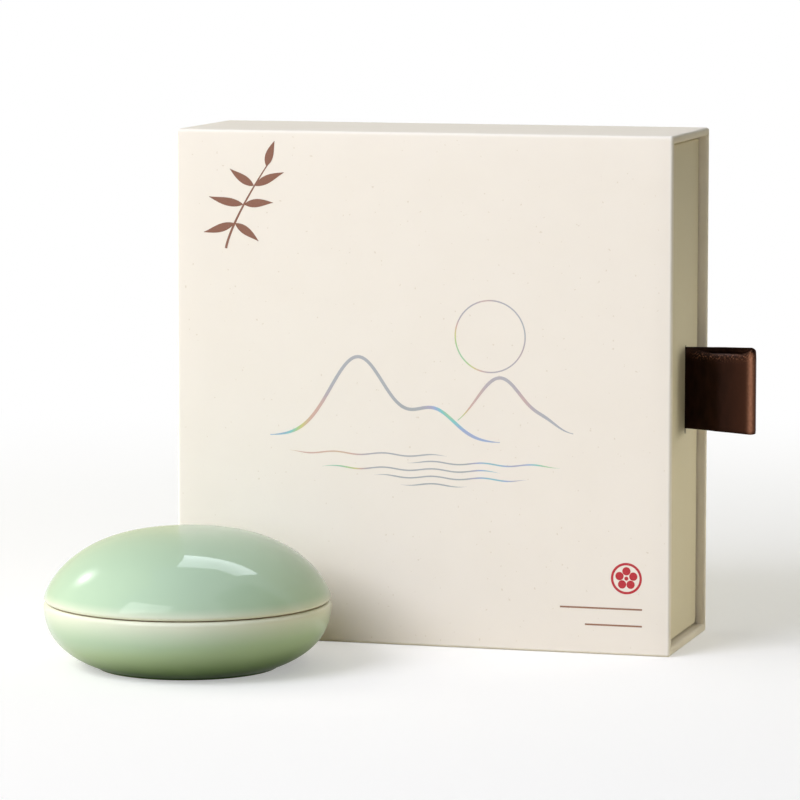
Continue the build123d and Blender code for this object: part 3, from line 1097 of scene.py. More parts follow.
@dataclass
class Insert:
    """What holds the pot in the tray: a foam block under a face card, and a pad on the tray's floor."""

    recess_radius: float = 42.05 * MM
    notch_radius: float = 11.0 * MM
    notch_depth: float = 20.0 * MM
    foam_edge: float = 0.8 * MM
    card_edge: float = 0.25 * MM
    edge_points: int = 5
    face_rings: int = 12
    face_margin: float = 0.02
    pad_edge: float = 0.5 * MM
    pad_crown: float = 0.12 * MM
    pad_rings: int = 14
    pad_edge_points: int = 6
    pad_ring_points: int = 180
    ring_points: int = 360

    def build(self) -> None:
        """Makes the block, the card and the pad."""
        foam = Foam("insert_foam", (0.82, 0.80, 0.75))
        block = self.sheet("foam_block", "insert_foam", self.foam_edge, self.notch_depth)
        dress(block, foam, "drawer", "insert_foam")
        card = self.sheet("insert_card", "insert_face_card", self.card_edge, None)
        dress(card, Paper("face_card", (0.87, 0.81, 0.73)), "drawer", "insert_face_card")
        dress(self.pad(), foam, "drawer", "recess_pad")

    def turn(self, half_x: float, half_z: float) -> Points:
        """Angles round the recess, with one at each corner of the sheet and each end of a notch.

        Args:
            half_x: half the sheet's width.
            half_z: half its height.

        Returns:
            The angles in rising order.
        """
        corner = math.atan2(half_z, half_x)
        mouth = 2 * math.asin(self.notch_radius / (2 * self.recess_radius))
        special = [sign * angle for sign in (1, -1) for angle in (corner, np.pi - corner, mouth, np.pi - mouth)]
        return np.unique(np.concatenate((np.linspace(-np.pi, np.pi, self.ring_points, endpoint=False), special)))

    def hole(self, turn: Points, notched: bool) -> Points:
        """Distance from the middle to the edge of the recess: its radius, or the far side of a notch's circle.

        Args:
            turn: the angles.
            notched: whether the finger notches are cut.

        Returns:
            One distance for each angle.
        """
        plain = np.full_like(turn, self.recess_radius)
        if not notched:
            return plain
        aside = self.recess_radius * np.abs(np.sin(turn))
        reach = self.recess_radius * np.abs(np.cos(turn))
        return np.maximum(plain, reach + np.sqrt(np.maximum(self.notch_radius ** 2 - aside ** 2, 0)))

    def sheet(self, name: str, node: str, edge: float, notch_depth: float | None) -> bpy.types.Object:
        """A sheet that fills the tray, as rings round the recess: its section is carried round the middle.

        Args:
            name: the piece's name.
            node: the solid that gives its place.
            edge: the radius of its soft edges.
            notch_depth: the depth of the finger notches, or None where they go through.

        Returns:
            The piece.
        """
        low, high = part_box(node)
        half_x, half_z = (high.x - low.x) / 2, (high.z - low.z) / 2
        turn = self.turn(half_x, half_z)
        with np.errstate(divide="ignore"):
            rim = np.minimum(half_x / np.abs(np.cos(turn)), half_z / np.abs(np.sin(turn)))
        hole, plain = self.hole(turn, True), self.hole(turn, False)
        bend = np.linspace(0, np.pi / 2, self.edge_points)
        drawn = edge * (1 - np.sin(bend))
        levels = edge * (1 - np.cos(bend))
        rings = [(rim, high.y)]
        rings += [(rim - inwards, low.y + edge - level) for inwards, level in zip(drawn[::-1], levels)]
        shares = np.linspace(self.face_margin, 1 - self.face_margin, self.face_rings)
        rings += [(rim + (hole - rim) * share, low.y) for share in shares]
        rings += [(hole + outwards, low.y + level) for outwards, level in zip(edge - drawn[::-1], levels)]
        if notch_depth is not None:
            ledge = low.y + notch_depth
            rings += [(hole, ledge), (plain, ledge), (plain, high.y)]
        else:
            rings += [(hole, high.y)]
        radii = np.stack([ring[0] for ring in rings])
        level = np.array([ring[1] for ring in rings])
        centre = ((low.x + high.x) / 2, (low.z + high.z) / 2)
        points = around(centre, turn, radii, level, upright=False)
        return new_piece(name, points, grid_faces(len(rings), len(turn), True, True))

    def pad(self) -> bpy.types.Object:
        """A thin disc, its face a little crowned, by the square of the radius, and its edge rounded.

        Returns:
            The piece.
        """
        low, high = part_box("recess_pad")
        radius, edge, crown = (high.x - low.x) / 2, self.pad_edge, self.pad_crown
        share = np.linspace(0, 1, self.pad_rings)
        face = np.stack((share * (radius - edge), low.y + crown * share ** 2), axis=-1)
        bend = np.linspace(0, np.pi / 2, self.pad_edge_points)
        rim = np.stack((radius - edge + edge * np.sin(bend), low.y + crown + edge * (1 - np.cos(bend))), axis=-1)
        section = np.concatenate((face, rim[1:], [(radius, high.y), (0, high.y)]))
        turn = np.linspace(0, 2 * np.pi, self.pad_ring_points, endpoint=False)
        centre = ((low.x + high.x) / 2, (low.z + high.z) / 2)
        points = around(centre, turn, section[:, 0], section[:, 1], upright=False)
        return new_piece("pot_pad", points, grid_faces(len(section), len(turn), False, True))


# The pot


SAME_WITHIN = 0.002 * MM


@dataclass
class Section:
    """Half a section of a turned piece, from the axis to the axis, with the state of the glaze at each point."""

    points: list[Points] = field(default_factory=list)
    bare: list[Points] = field(default_factory=list)

    def add(self, points: Points, bare: float = 0.0) -> None:
        """Adds a stretch of (radius, level) points, glazed or bare."""
        self.points.append(np.asarray(points, float))
        self.bare.append(np.full(len(self.points[-1]), bare))

    def joined(self) -> tuple[Points, Points]:
        """All stretches in order, with coinciding neighbours dropped.

        Returns:
            The (radius, level) points, and how bare the clay is at each.
        """
        line, bare = np.concatenate(self.points), np.concatenate(self.bare)
        keep = np.concatenate(([True], np.linalg.norm(np.diff(line, axis=0), axis=1) > SAME_WITHIN))
        return line[keep], bare[keep]


@dataclass
class Pot:
    """Celadon pot: a bowl and a domed lid that meet at a fine seam, with paste heaped in the bowl."""

    radius: float = 41.35 * MM
    rim_width: float = 4.0 * MM
    seat_width: float = 1.2 * MM
    lip: float = 1.2 * MM
    lip_inner: float = 0.3 * MM
    lip_points: int = 14
    seam_gap: float = 0.3 * MM
    bowl_full_depth: float = 21.66 * MM
    bowl_floor: float = 5.0 * MM
    bowl_power: float = 2.44
    foot_height: float = 0.6 * MM
    foot_radius: float = 26.0 * MM
    foot_width: float = 3.6 * MM
    foot_recess: float = 1.8 * MM
    spigot_wall: float = 2.2 * MM
    spigot_clearance: float = 0.4 * MM
    spigot_edge: float = 0.5 * MM
    dome_across: float = 2.66
    dome_up: float = 1.50
    lid_wall: float = 3.2 * MM
    lid_straight: float = 2.9 * MM
    paste_gap: float = 0.2 * MM
    paste_crown: float = 5.0 * MM
    paste_swell: float = 0.8
    paste_fade: float = 0.12
    paste_rings: int = 120
    ridge_height: float = 0.5 * MM
    streak_height: float = 0.16 * MM
    fine_height: float = 0.06 * MM
    peak_height: float = 1.1 * MM
    peak_width: float = 0.13
    calm_width: float = 0.15
    ring_points: int = 288
    curve_points: int = 72
    wobble: float = 0.035 * MM
    swells: tuple[tuple[float, int, float, float, float], ...] = (
        (1.0, 2, 0.6, 9.0 * MM, 0.0),
        (0.6, 3, 2.1, 6.0 * MM, 1.0),
        (0.35, 5, -1.2, 4.0 * MM, 0.0),
    )
    lid_band: float = 3.6 * MM
    bowl_band: float = 8.0 * MM
    band_power: float = 1.5
    # The next four set where the colour darkens: towards the foot partly pooled glaze and partly painted shade,
    # higher on the +X side as painted shade.
    pool_and_shade_power: float = 1.4
    pool_and_shade_height: float = 15.2 * MM
    painted_shade_lean: float = 0.36
    painted_shade_turn: float = math.radians(5)
    centre: tuple[float, float] = field(init=False)
    seam: float = field(init=False)
    top: float = field(init=False)
    spigot_top: float = field(init=False)

    def __post_init__(self) -> None:
        """Reads the pot's place and heights from the frame."""
        low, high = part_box("pot_base")
        self.centre = ((low.x + high.x) / 2, (low.y + high.y) / 2)
        lid_low, lid_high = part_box("pot_lid")
        self.seam, self.top = lid_low.z, lid_high.z
        self.spigot_top = high.z

    def build(self) -> None:
        """Makes the bowl, the lid and the paste."""
        glaze = Celadon("celadon_glaze", (0.45, 0.61, 0.435))
        self.turned("celadon_bowl", self.bowl(), glaze, "pot", "pot_base", self.bowl_band)
        self.turned("celadon_lid", self.lid(), glaze, "lid", "pot_lid", self.lid_band)
        self.paste()

    def turned(self, name: str, section: Section, finish: Finish, body: str, node: str, band: float) -> None:
        """Turns a section about the pot's axis, with the slight unevenness of hand finishing.

        The glaze is thin within the band at the seam, and the colour darkens towards the foot, each as a power of the
        distance:
        partly pooled glaze, partly painted shade. The darkening reaches further up the +X side by a cosine of the
        angle: painted shade.

        Args:
            name: the piece's name.
            section: what is turned.
            finish: what covers it.
            body: the body that it rides on.
            node: the solid that it replaces.
            band: how far the pale glaze reaches from the seam.
        """
        line, bare = section.joined()
        turn = np.linspace(0, 2 * np.pi, self.ring_points, endpoint=False)
        radii = line[:, :1] + self.unevenness(turn[None, :], line[:, 1:]) * np.clip(line[:, :1] / self.radius, 0, 1)
        points = around(self.centre, turn, radii, line[:, 1])
        away = np.abs(line[:, 1] - self.seam)
        thin = np.clip(1 - away / band, 0, 1) ** self.band_power
        # painted shade reaches higher on the +X side, away from the key light
        pool_and_shade_reach = self.pool_and_shade_height * (1 + self.painted_shade_lean * np.cos(turn - self.painted_shade_turn))
        deep_and_shade = np.clip(1 - line[:, 1:] / pool_and_shade_reach, 0, 1) ** self.pool_and_shade_power
        rings = {key: np.repeat(value, len(turn)) for key, value in (("thin", thin), ("bare", bare))}
        rings["deep_and_shade"] = deep_and_shade.ravel()
        piece = new_piece(name, points, grid_faces(len(line), len(turn), False, True), rings)
        dress(piece, finish, body, node)

    def unevenness(self, turn: Points, level: Points) -> Points:
        """Slow waves round and up the wall: three products of cosines, less their greatest sum, so never outwards.

        Each swell is its size, its waves round the wall and their phase, its length up the wall and that phase.

        Args:
            turn: the angle round the axis.
            level: the height.

        Returns:
            How far the wall stands inside its true curve, as a negative number.
        """
        total = sum(
            size * np.cos(count * turn + phase) * np.cos(level / length + start)
            for size, count, phase, length, start in self.swells
        )
        return (total - sum(swell[0] for swell in self.swells)) * self.wobble

    def curve(self, radius: float, rise: float, base: float, across: float, up: float, begin: float = 0.0) -> Points:
        """A quarter superellipse: (r / radius) to the power across plus (z / rise) to the power up is one.

        Args:
            radius: its reach from the axis.
            rise: its reach along the axis, negative downwards.
            base: the level where it is widest.
            across: the power on the radius.
            up: the power on the height.
            begin: the share of the rise where it starts.

        Returns:
            (radius, level) pairs up to the axis.
        """
        turn = np.linspace(math.asin(begin ** (up / 2)), np.pi / 2, self.curve_points)
        share = np.sin(turn) ** (2 / up)
        return np.stack((radius * np.abs(np.cos(turn)) ** (2 / across), base + rise * share), axis=-1)

    def lipped(self, rise: float, base: float, across: float, up: float) -> Points:
        """The outer curve, drawn in over its first stretch by a quarter circle, which rounds the lip.

        Args:
            rise: its reach along the axis, negative downwards.
            base: the level where it is widest.
            across: the power on the radius.
            up: the power on the height.

        Returns:
            (radius, level) pairs up to the axis.
        """
        bend = np.linspace(0, np.pi / 2, self.lip_points)
        share = self.lip * (1 - np.cos(bend)) / abs(rise)
        wide = self.radius * (1 - share ** up) ** (1 / across)
        lip = np.stack((wide - self.lip * (1 - np.sin(bend)), base + rise * share), axis=-1)
        return np.concatenate((lip, self.curve(self.radius, rise, base, across, up, self.lip / abs(rise))))

    def lid(self) -> Section:
        """The lid: dome, rounded lip, bare seat and glazed hollow.

        Returns:
            Its section.
        """
        bore = self.radius - self.rim_width
        section = Section()
        section.add(self.lipped(self.top - self.seam, self.seam, self.dome_across, self.dome_up)[::-1])
        section.add(run_between((self.radius - self.lip, self.seam), (bore + self.lip_inner, self.seam)), bare=1.0)
        section.add(quarter((bore + self.lip_inner, self.seam + self.lip_inner), self.lip_inner, 270, 180), bare=1.0)
        base = self.seam + self.lid_straight
        section.add(run_between((bore, self.seam + self.lip_inner), (bore, base)), bare=1.0)
        section.add(self.curve(bore, self.top - self.lid_wall - base, base, self.dome_across, self.dome_up))
        return section

    def bowl(self) -> Section:
        """The bowl: skirt, foot ring, glazed hollow, bare spigot and seat.

        Returns:
            Its section.
        """
        low = self.seam - self.seam_gap
        bore = self.radius - self.rim_width
        spigot = bore - self.spigot_clearance
        hollow = spigot - self.spigot_wall
        seat = bore + self.seat_width
        edge = self.spigot_edge
        outer = self.lipped(-self.bowl_full_depth, low, self.bowl_power, self.bowl_power)
        outer = outer[outer[:, 1] > self.foot_height]
        foot_inner = self.foot_radius - self.foot_width
        section = Section()
        section.add(run_between((0, self.foot_recess), (foot_inner - self.foot_recess, self.foot_recess)))
        section.add(run_between((foot_inner - self.foot_recess, self.foot_recess), (foot_inner, 0)))
        section.add(run_between((foot_inner, 0), (self.foot_radius, 0)), bare=1.0)
        section.add(run_between((self.foot_radius, 0), tuple(outer[-1])))
        section.add(outer[::-1])
        section.add(run_between((self.radius - self.lip, low), (seat, low), (seat, self.seam)), bare=1.0)
        section.add(run_between((seat, self.seam), (spigot, self.seam), (spigot, self.spigot_top - edge)), bare=1.0)
        section.add(quarter((spigot - edge, self.spigot_top - edge), edge, 0, 90), bare=1.0)
        section.add(quarter((hollow + edge, self.spigot_top - edge), edge, 90, 180), bare=1.0)
        section.add(run_between((hollow, self.spigot_top - edge), (hollow, low)))
        section.add(self.curve(hollow, self.bowl_floor - low, low, self.bowl_power, self.bowl_power))
        return section

    def paste(self) -> None:
        """The paste: the bowl's own curve below and a heap above, stirred into a spiral ridge with a small peak."""
        low = self.seam - self.seam_gap
        bore = self.radius - self.rim_width - self.spigot_clearance - self.spigot_wall
        reach, depth = bore - self.paste_gap, low - self.bowl_floor - self.paste_gap
        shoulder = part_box("seal_paste")[1].z - self.paste_crown
        begin = (low - shoulder) / depth
        side = self.curve(reach, -depth, low, self.bowl_power, self.bowl_power, begin)
        share = np.linspace(0, 1, self.paste_rings)
        turn = np.linspace(0, 2 * np.pi, self.ring_points, endpoint=False)
        edge = side[0, 0]
        fade = np.clip((1 - share) / self.paste_fade, 0, 1)[:, None]
        heap = shoulder + self.paste_crown * self.paste_swell * np.sqrt(np.clip(1 - share ** 2, 0, 1))
        level = heap[:, None] + self.stir(turn[None, :], share[:, None]) * fade
        radii = np.outer(share * edge, np.ones(len(turn)))
        above = around(self.centre, turn, radii, heap).reshape(len(share), -1, 3)
        above[..., 2] = level
        above[0, :, 2] = level[0].mean()
        below = around(self.centre, turn, side[:, 0], side[:, 1]).reshape(len(side), -1, 3)
        points = np.concatenate((above, below)).reshape(-1, 3)
        piece = new_piece("paste_heap", points, grid_faces(len(share) + len(side), len(turn), False, True), crease=80)
        dress(piece, Paste("seal_paste", (0.62, 0.045, 0.025)), "pot", "seal_paste")

    def stir(self, turn: Points, share: Points) -> Points:
        """Height left by stirring: a spiral ridge, finer streaks beside it, and a peak pulled up in the middle.

        Ridge and streaks are sines of the angle less a multiple of the radius. The peak is a bell curve.

        Args:
            turn: the angle round the axis.
            share: the radius, as a share of the heap's.

        Returns:
            The height over the smooth heap.
        """
        spiral = np.sin(turn - 15 * share) * self.ridge_height
        streaks = np.sin(5 * turn - 46 * share + 1.3 * np.sin(2 * turn)) * self.streak_height
        fine = np.sin(13 * turn - 90 * share + 2 * np.sin(3 * turn)) * self.fine_height
        peak = self.peak_height * np.exp(-(share / self.peak_width) ** 2)
        return (spiral + streaks + fine) * np.clip(share / self.calm_width, 0, 1) + peak


# The print on the case's front: generic drawings in foil and ink

Stroke = tuple[Points, Points]


@dataclass(frozen=True)
class Ridge:
    """A line of hills, in millimetres from the landscape's middle. Each hump is its height, place and width."""

    start: float
    end: float
    level: float
    humps: tuple[Triple, ...]
    points: int


@dataclass
class FrontPrint:
    """Flat pieces of foil and ink that lie on the front sheet. Places are (X, Z) on the case's front.

    Ripples and rules are (start, end, level) in millimetres. A leaf is its place on the stem as a share of it, its
    heading in degrees and its length in millimetres.
    """

    film: float = 0.03 * MM
    sunk_share: float = 0.2
    stacked_share: float = 0.1
    line_width: float = 0.95 * MM
    fine_width: float = 0.4 * MM
    landscape_middle: tuple[float, float] = (0.0, 72.0 * MM)
    moon_middle: tuple[float, float] = (21.0 * MM, 20.0 * MM)
    moon_radius: float = 10.5 * MM
    moon_points: int = 120
    ridges: tuple[Ridge, ...] = (
        Ridge(-46.0, 24.0, -11.0, ((24.0, -19.0, 12.0), (9.0, 4.0, 9.0)), 160),
        Ridge(11.3, 46.0, -8.0, ((16.0, 24.0, 10.0), (2.4, 38.0, 5.0)), 120),
    )
    ridge_taper: float = 9.0 * MM
    ripples: tuple[Triple, ...] = (
        (-40.0, 8.0, -15.5), (-4.0, 42.0, -17.5), (-30.0, 24.0, -19.7), (-14.0, 32.0, -21.9), (-6.0, 14.0, -24.1),
    )
    ripple_height: float = 0.35 * MM
    ripple_length: float = 15.0 * MM
    ripple_taper: float = 6.0 * MM
    ripple_points: int = 100
    sprig_foot: tuple[float, float] = (-59.5 * MM, 116.0 * MM)
    stem_lean: float = 13.0 * MM
    stem_height: float = 25.0 * MM
    stem_points: int = 40
    leaves: tuple[Triple, ...] = (
        (0.30, 200, 10), (0.30, -32, 9), (0.52, 172, 11), (0.52, 8, 9), (0.74, 150, 9), (0.74, 28, 10), (0.97, 75, 8),
    )
    leaf_width: float = 2.3 * MM
    leaf_tip: float = 0.12 * MM
    leaf_droop: float = 0.18
    stem_power: float = 1.3
    blossom_middle: tuple[float, float] = (62.0 * MM, 22.6 * MM)
    blossom_radius: float = 4.6 * MM
    blossom_points: int = 90
    ring_width: float = 0.7 * MM
    petals: int = 5
    petal_size: float = 1.22 * MM
    petal_place: float = 2.15 * MM
    dot_size: float = 0.6 * MM
    rule_lines: tuple[Triple, ...] = ((42.2, 66.7, 13.6), (49.7, 66.7, 8.7))
    rule_width: float = 0.5 * MM
    front: float = field(init=False)

    def __post_init__(self) -> None:
        """Reads where the front sheet lies."""
        self.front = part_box("sleeve_wrap_paper")[0].y

    def build(self) -> None:
        """Makes the foil landscape, the printed sprig, the blossom stamp and two rules."""
        foil = Foil("cover_paper", (0.60, 0.60, 0.62))
        brown = Ink("cover_paper", (0.24, 0.105, 0.068))
        bronze = Ink("cover_paper", (0.30, 0.15, 0.09))
        red = Ink("cover_paper", (0.48, 0.022, 0.035))
        self.landscape(foil)
        self.sprig(brown)
        self.blossom(red)
        self.rules(bronze)

    def on_front(self, flat: Points, lift: float) -> Points:
        """Puts (X, Z) points on the front, lifted off the paper."""
        return np.stack((flat[..., 0], np.full(flat.shape[:-1], self.front - lift), flat[..., 1]), axis=-1)

    def stroke(self, line: Points, width: Points, closed: bool = False) -> Stroke:
        """A flat stroke: four corners of a thin section carried along the line, half the width to each side.

        Args:
            line: (X, Z) points along the stroke.
            width: its width at each point.
            closed: whether its end joins its start.

        Returns:
            The points and quads.
        """
        if closed:
            ahead = np.roll(line, -1, axis=0) - np.roll(line, 1, axis=0)
        else:
            ahead = np.gradient(line, axis=0)
        ahead = ahead / np.linalg.norm(ahead, axis=1, keepdims=True)
        aside = np.stack((-ahead[:, 1], ahead[:, 0]), axis=-1) * np.reshape(width, (-1, 1)) / 2
        left, right = line + aside, line - aside
        under, over = -self.sunk_share * self.film, self.film
        section = (
            self.on_front(left, under),
            self.on_front(left, over),
            self.on_front(right, over),
            self.on_front(right, under),
        )
        points = np.stack(section, axis=1).reshape(-1, 3)
        quads = grid_faces(len(line), 4, close_rows=closed, close_columns=True)
        if not closed:
            last = 4 * (len(line) - 1)
            caps = [[3, 2, 1, 0], [last, last + 1, last + 2, last + 3]]
            quads = np.concatenate((quads, caps))
        return points, quads

    def together(self, name: str, parts: list[Stroke], finish: Finish) -> None:
        """Joins strokes into one piece, each facing outwards and a hair above the one before it.

        Args:
            name: the piece's name.
            parts: the points and quads of each stroke.
            finish: what they are printed in.
        """
        points, quads, count = [], [], 0
        for index, (part_points, part_quads) in enumerate(parts):
            if enclosed(part_points - part_points.mean(axis=0), part_quads) < 0:
                part_quads = part_quads[:, ::-1]
            points.append(part_points - (0, self.stacked_share * index * self.film, 0))
            quads.append(part_quads + count)
            count += len(part_points)
        dress(new_piece(name, np.concatenate(points), np.concatenate(quads)), finish, "case")

    def tapered(
        self, x: Points, level: Points, width: float, reach: float, least: float, power: float = 1.0
    ) -> Stroke:
        """A stroke that narrows towards both ends, by a power of the distance to the nearer end.

        Args:
            x: its places from the landscape's middle.
            level: its height at each, from there too.
            width: its full width.
            reach: how far from its ends it narrows.
            least: the share of its width that is left at the ends.
            power: the power.

        Returns:
            The points and quads.
        """
        east, up = self.landscape_middle
        share = np.clip(np.minimum(x - x[0], x[-1] - x) / reach, least, 1) ** power
        return self.stroke(np.stack((east + x, up + level), -1), width * share)

    def landscape(self, foil: Finish) -> None:
        """A moon over two ridges and the ripples of a lake. Humps are bell curves, and ripples are sines.

        Args:
            foil: what it is printed in.
        """
        turn = np.linspace(0, 2 * np.pi, self.moon_points, endpoint=False)
        circle = self.moon_radius * np.stack((np.cos(turn), np.sin(turn)), -1)
        moon = np.add(self.landscape_middle, self.moon_middle) + circle
        parts = [self.stroke(moon, np.full(len(moon), self.fine_width), closed=True)]
        for ridge in self.ridges:
            x = np.linspace(ridge.start * MM, ridge.end * MM, ridge.points)
            humps = sum(
                height * MM * np.exp(-((x - place * MM) / (width * MM)) ** 2) for height, place, width in ridge.humps
            )
            parts.append(self.tapered(x, ridge.level * MM + humps, self.line_width, self.ridge_taper, 0.12, 0.7))
        for start, end, level in self.ripples:
            x = np.linspace(start * MM, end * MM, self.ripple_points)
            ripple = self.ripple_height * np.sin(2 * np.pi * x / self.ripple_length)
            parts.append(self.tapered(x, level * MM + ripple, self.fine_width, self.ripple_taper, 0.1))
        self.together("front_foil_landscape", parts, foil)

    def sprig(self, ink: Finish) -> None:
        """A sprig: a leaning stem, and leaves whose width swells and tapers as a skewed sine.

        Args:
            ink: what it is printed in.
        """
        share = np.linspace(0, 1, self.stem_points)
        parts = [self.stroke(self.on_stem(share), (0.75 - 0.4 * share) * MM)]
        for place, heading, length in self.leaves:
            turn = math.radians(heading) - self.leaf_droop * share ** 2
            ahead = np.stack((np.cos(turn), np.sin(turn)), -1)
            line = self.on_stem(place) + np.cumsum(ahead, axis=0) * length * MM / len(share)
            swell = self.leaf_width * np.sin(np.pi * share ** 0.75) ** 1.1 + self.leaf_tip
            parts.append(self.stroke(line, swell))
        self.together("front_sprig_print", parts, ink)

    def on_stem(self, share: Points | float) -> Points:
        """Points of the sprig's stem, which leans by a power of the height.

        Args:
            share: the height, as a share of the stem's.

        Returns:
            (X, Z) points.
        """
        east, up = self.sprig_foot
        return np.stack((east + self.stem_lean * share ** self.stem_power, up + self.stem_height * share), -1)

    def blossom(self, ink: Finish) -> None:
        """A stamped blossom: a ring, petals and a dot, each a stroke that closes on itself.

        Args:
            ink: what it is printed in.
        """
        turn = np.linspace(0, 2 * np.pi, self.blossom_points, endpoint=False)
        circle = np.stack((np.cos(turn), np.sin(turn)), -1)
        middle = np.array(self.blossom_middle)
        ring = middle + circle * (self.blossom_radius - self.ring_width / 2)
        parts = [self.stroke(ring, np.full(len(ring), self.ring_width), closed=True)]
        small = circle[::3] / 2
        for index in range(self.petals):
            angle = np.pi / 2 + 2 * np.pi * index / self.petals
            place = middle + self.petal_place * np.array((math.cos(angle), math.sin(angle)))
            petal = place + small * self.petal_size
            parts.append(self.stroke(petal, np.full(len(small), self.petal_size), closed=True))
        parts.append(self.stroke(middle + small * self.dot_size, np.full(len(small), self.dot_size), closed=True))
        self.together("front_blossom_stamp", parts, ink)

    def rules(self, ink: Finish) -> None:
        """Two short rules below the stamp.

        Args:
            ink: what they are printed in.
        """
        parts = []
        for start, end, level in self.rule_lines:
            line = run_between((start * MM, level * MM), (end * MM, level * MM), steps=8)
            parts.append(self.stroke(line, np.full(len(line), self.rule_width)))
        self.together("front_rules", parts, ink)


# The studio


WALL: Colour = (1.0, 0.97, 0.68)
NO_GRID = 180.0


class Look(Enum):
    """How a card's light is spread over it."""

    EVEN = "even"
    RIMMED = "brighter along its lower edge"
    SPOT = "bright in the middle, and fading to nothing"


def direction(azimuth: float, elevation: float) -> Vector:
    """The unit vector of a direction in degrees. Azimuth is 0 in front of the case and grows towards +X."""
    turn, rise = math.radians(azimuth), math.radians(elevation)
    return Vector((math.sin(turn) * math.cos(rise), -math.cos(turn) * math.cos(rise), math.sin(rise)))


@dataclass(frozen=True)
class Lamp:
    """A soft panel that lights the set from a direction. Gloss doesn't show it: the cards are for that.

    A beam is the full angle in degrees that a grid in front of the panel lets through. Its light falls off to nothing
    at half that angle from the panel's own direction.
    """

    name: str
    azimuth: float
    elevation: float
    distance: float
    width: float
    height: float
    radiance: float
    colour: Colour = (1.0, 1.0, 1.0)
    target: tuple[float, float, float] = (-0.045, -0.06, 0.04)
    beam: float = NO_GRID

    def build(self) -> None:
        """Makes the lamp. Its power is four times its radiance times its area, less what a grid would gather.

        The renderer keeps the power and gathers it in the beam, which multiplies the light straight ahead by the
        tangent of half the beam over the difference of that tangent and the angle.
        """
        light = bpy.data.lights.new(self.name, "AREA")
        light.shape = "RECTANGLE"
        light.size, light.size_y = self.width, self.height
        light.energy = 4 * self.radiance * self.width * self.height
        if self.beam < NO_GRID:
            half = np.radians(self.beam / 2)
            light.spread = 2 * half
            light.energy *= 1 - half / np.tan(half)
        light.color = self.colour
        lamp = bpy.data.objects.new(self.name, light)
        bpy.context.scene.collection.objects.link(lamp)
        back = direction(self.azimuth, self.elevation)
        lamp.location = Vector(self.target) + back * self.distance
        lamp.rotation_mode = "QUATERNION"
        lamp.rotation_quaternion = back.to_track_quat("Z", "Y")
        lamp.visible_camera = lamp.visible_glossy = False


@dataclass(frozen=True)
class Card:
    """A lit sheet that shows only where gloss mirrors it. Its corners are directions from the pot."""

    name: str
    corners: tuple[tuple[float, float], ...]
    radiance: float
    colour: Colour = (1.0, 1.0, 1.0)
    look: Look = Look.EVEN
    distance: float = 1.2
    rim_share: float = 0.72
    rim_levels: tuple[float, float] = (1.04, 1.12)
    target: tuple[float, float, float] = (-0.0554, -0.0747, 0.03)

    def build(self) -> None:
        """Makes the sheet. Its light varies in its colour alone."""
        points = [Vector(self.target) + direction(*corner) * self.distance for corner in self.corners]
        mesh = bpy.data.meshes.new(self.name)
        mesh.from_pydata([tuple(point) for point in points], [], [tuple(range(len(points)))])
        card = bpy.data.objects.new(self.name, mesh)
        bpy.context.scene.collection.objects.link(card)
        material = bpy.data.materials.new(self.name)
        material.use_nodes = True
        self.paint(Tree(material.node_tree), np.mean(points, axis=0), np.ptp(points, axis=0).max() / 2)
        mesh.materials.append(material)
        card.visible_camera = card.visible_diffuse = card.visible_transmission = card.visible_shadow = False

    def paint(self, tree: Tree, middle: Points, reach: float) -> None:
        """Gives the card its light.

        A rim is a smooth step of the height. A spot is the cube of one less the distance from the middle over the
        reach, and what is behind it shows through.

        Args:
            tree: the material's nodes.
            middle: the card's middle.
            reach: where a spot has faded out.
        """
        colour = self.colour
        if self.look is Look.RIMMED:
            level = tree.axes(tree.place())[2].rise(*self.rim_levels)
            colour = tree.blend(level, self.colour, tuple(self.rim_share * c for c in self.colour))
        if self.look is Look.SPOT:
            offset = {"operation": "DISTANCE"}
            away = tree.field("ShaderNodeVectorMath", offset, {0: tree.place(), 1: tuple(middle)}, "Value")
            near = (1.0 - away / reach).or_more(0.0)
            colour = tree.blend(near * near * near, (0.0, 0.0, 0.0), self.colour)
        light = tree.field("ShaderNodeEmission", {}, {"Color": colour, "Strength": self.radiance}, "Emission")
        if self.look is Look.SPOT:
            clear = tree.field("ShaderNodeBsdfTransparent", {}, {}, "BSDF")
            light = tree.field("ShaderNodeAddShader", {}, {0: light, 1: clear}, "Shader")
        tree.node("ShaderNodeOutputMaterial", {}, {"Surface": light})


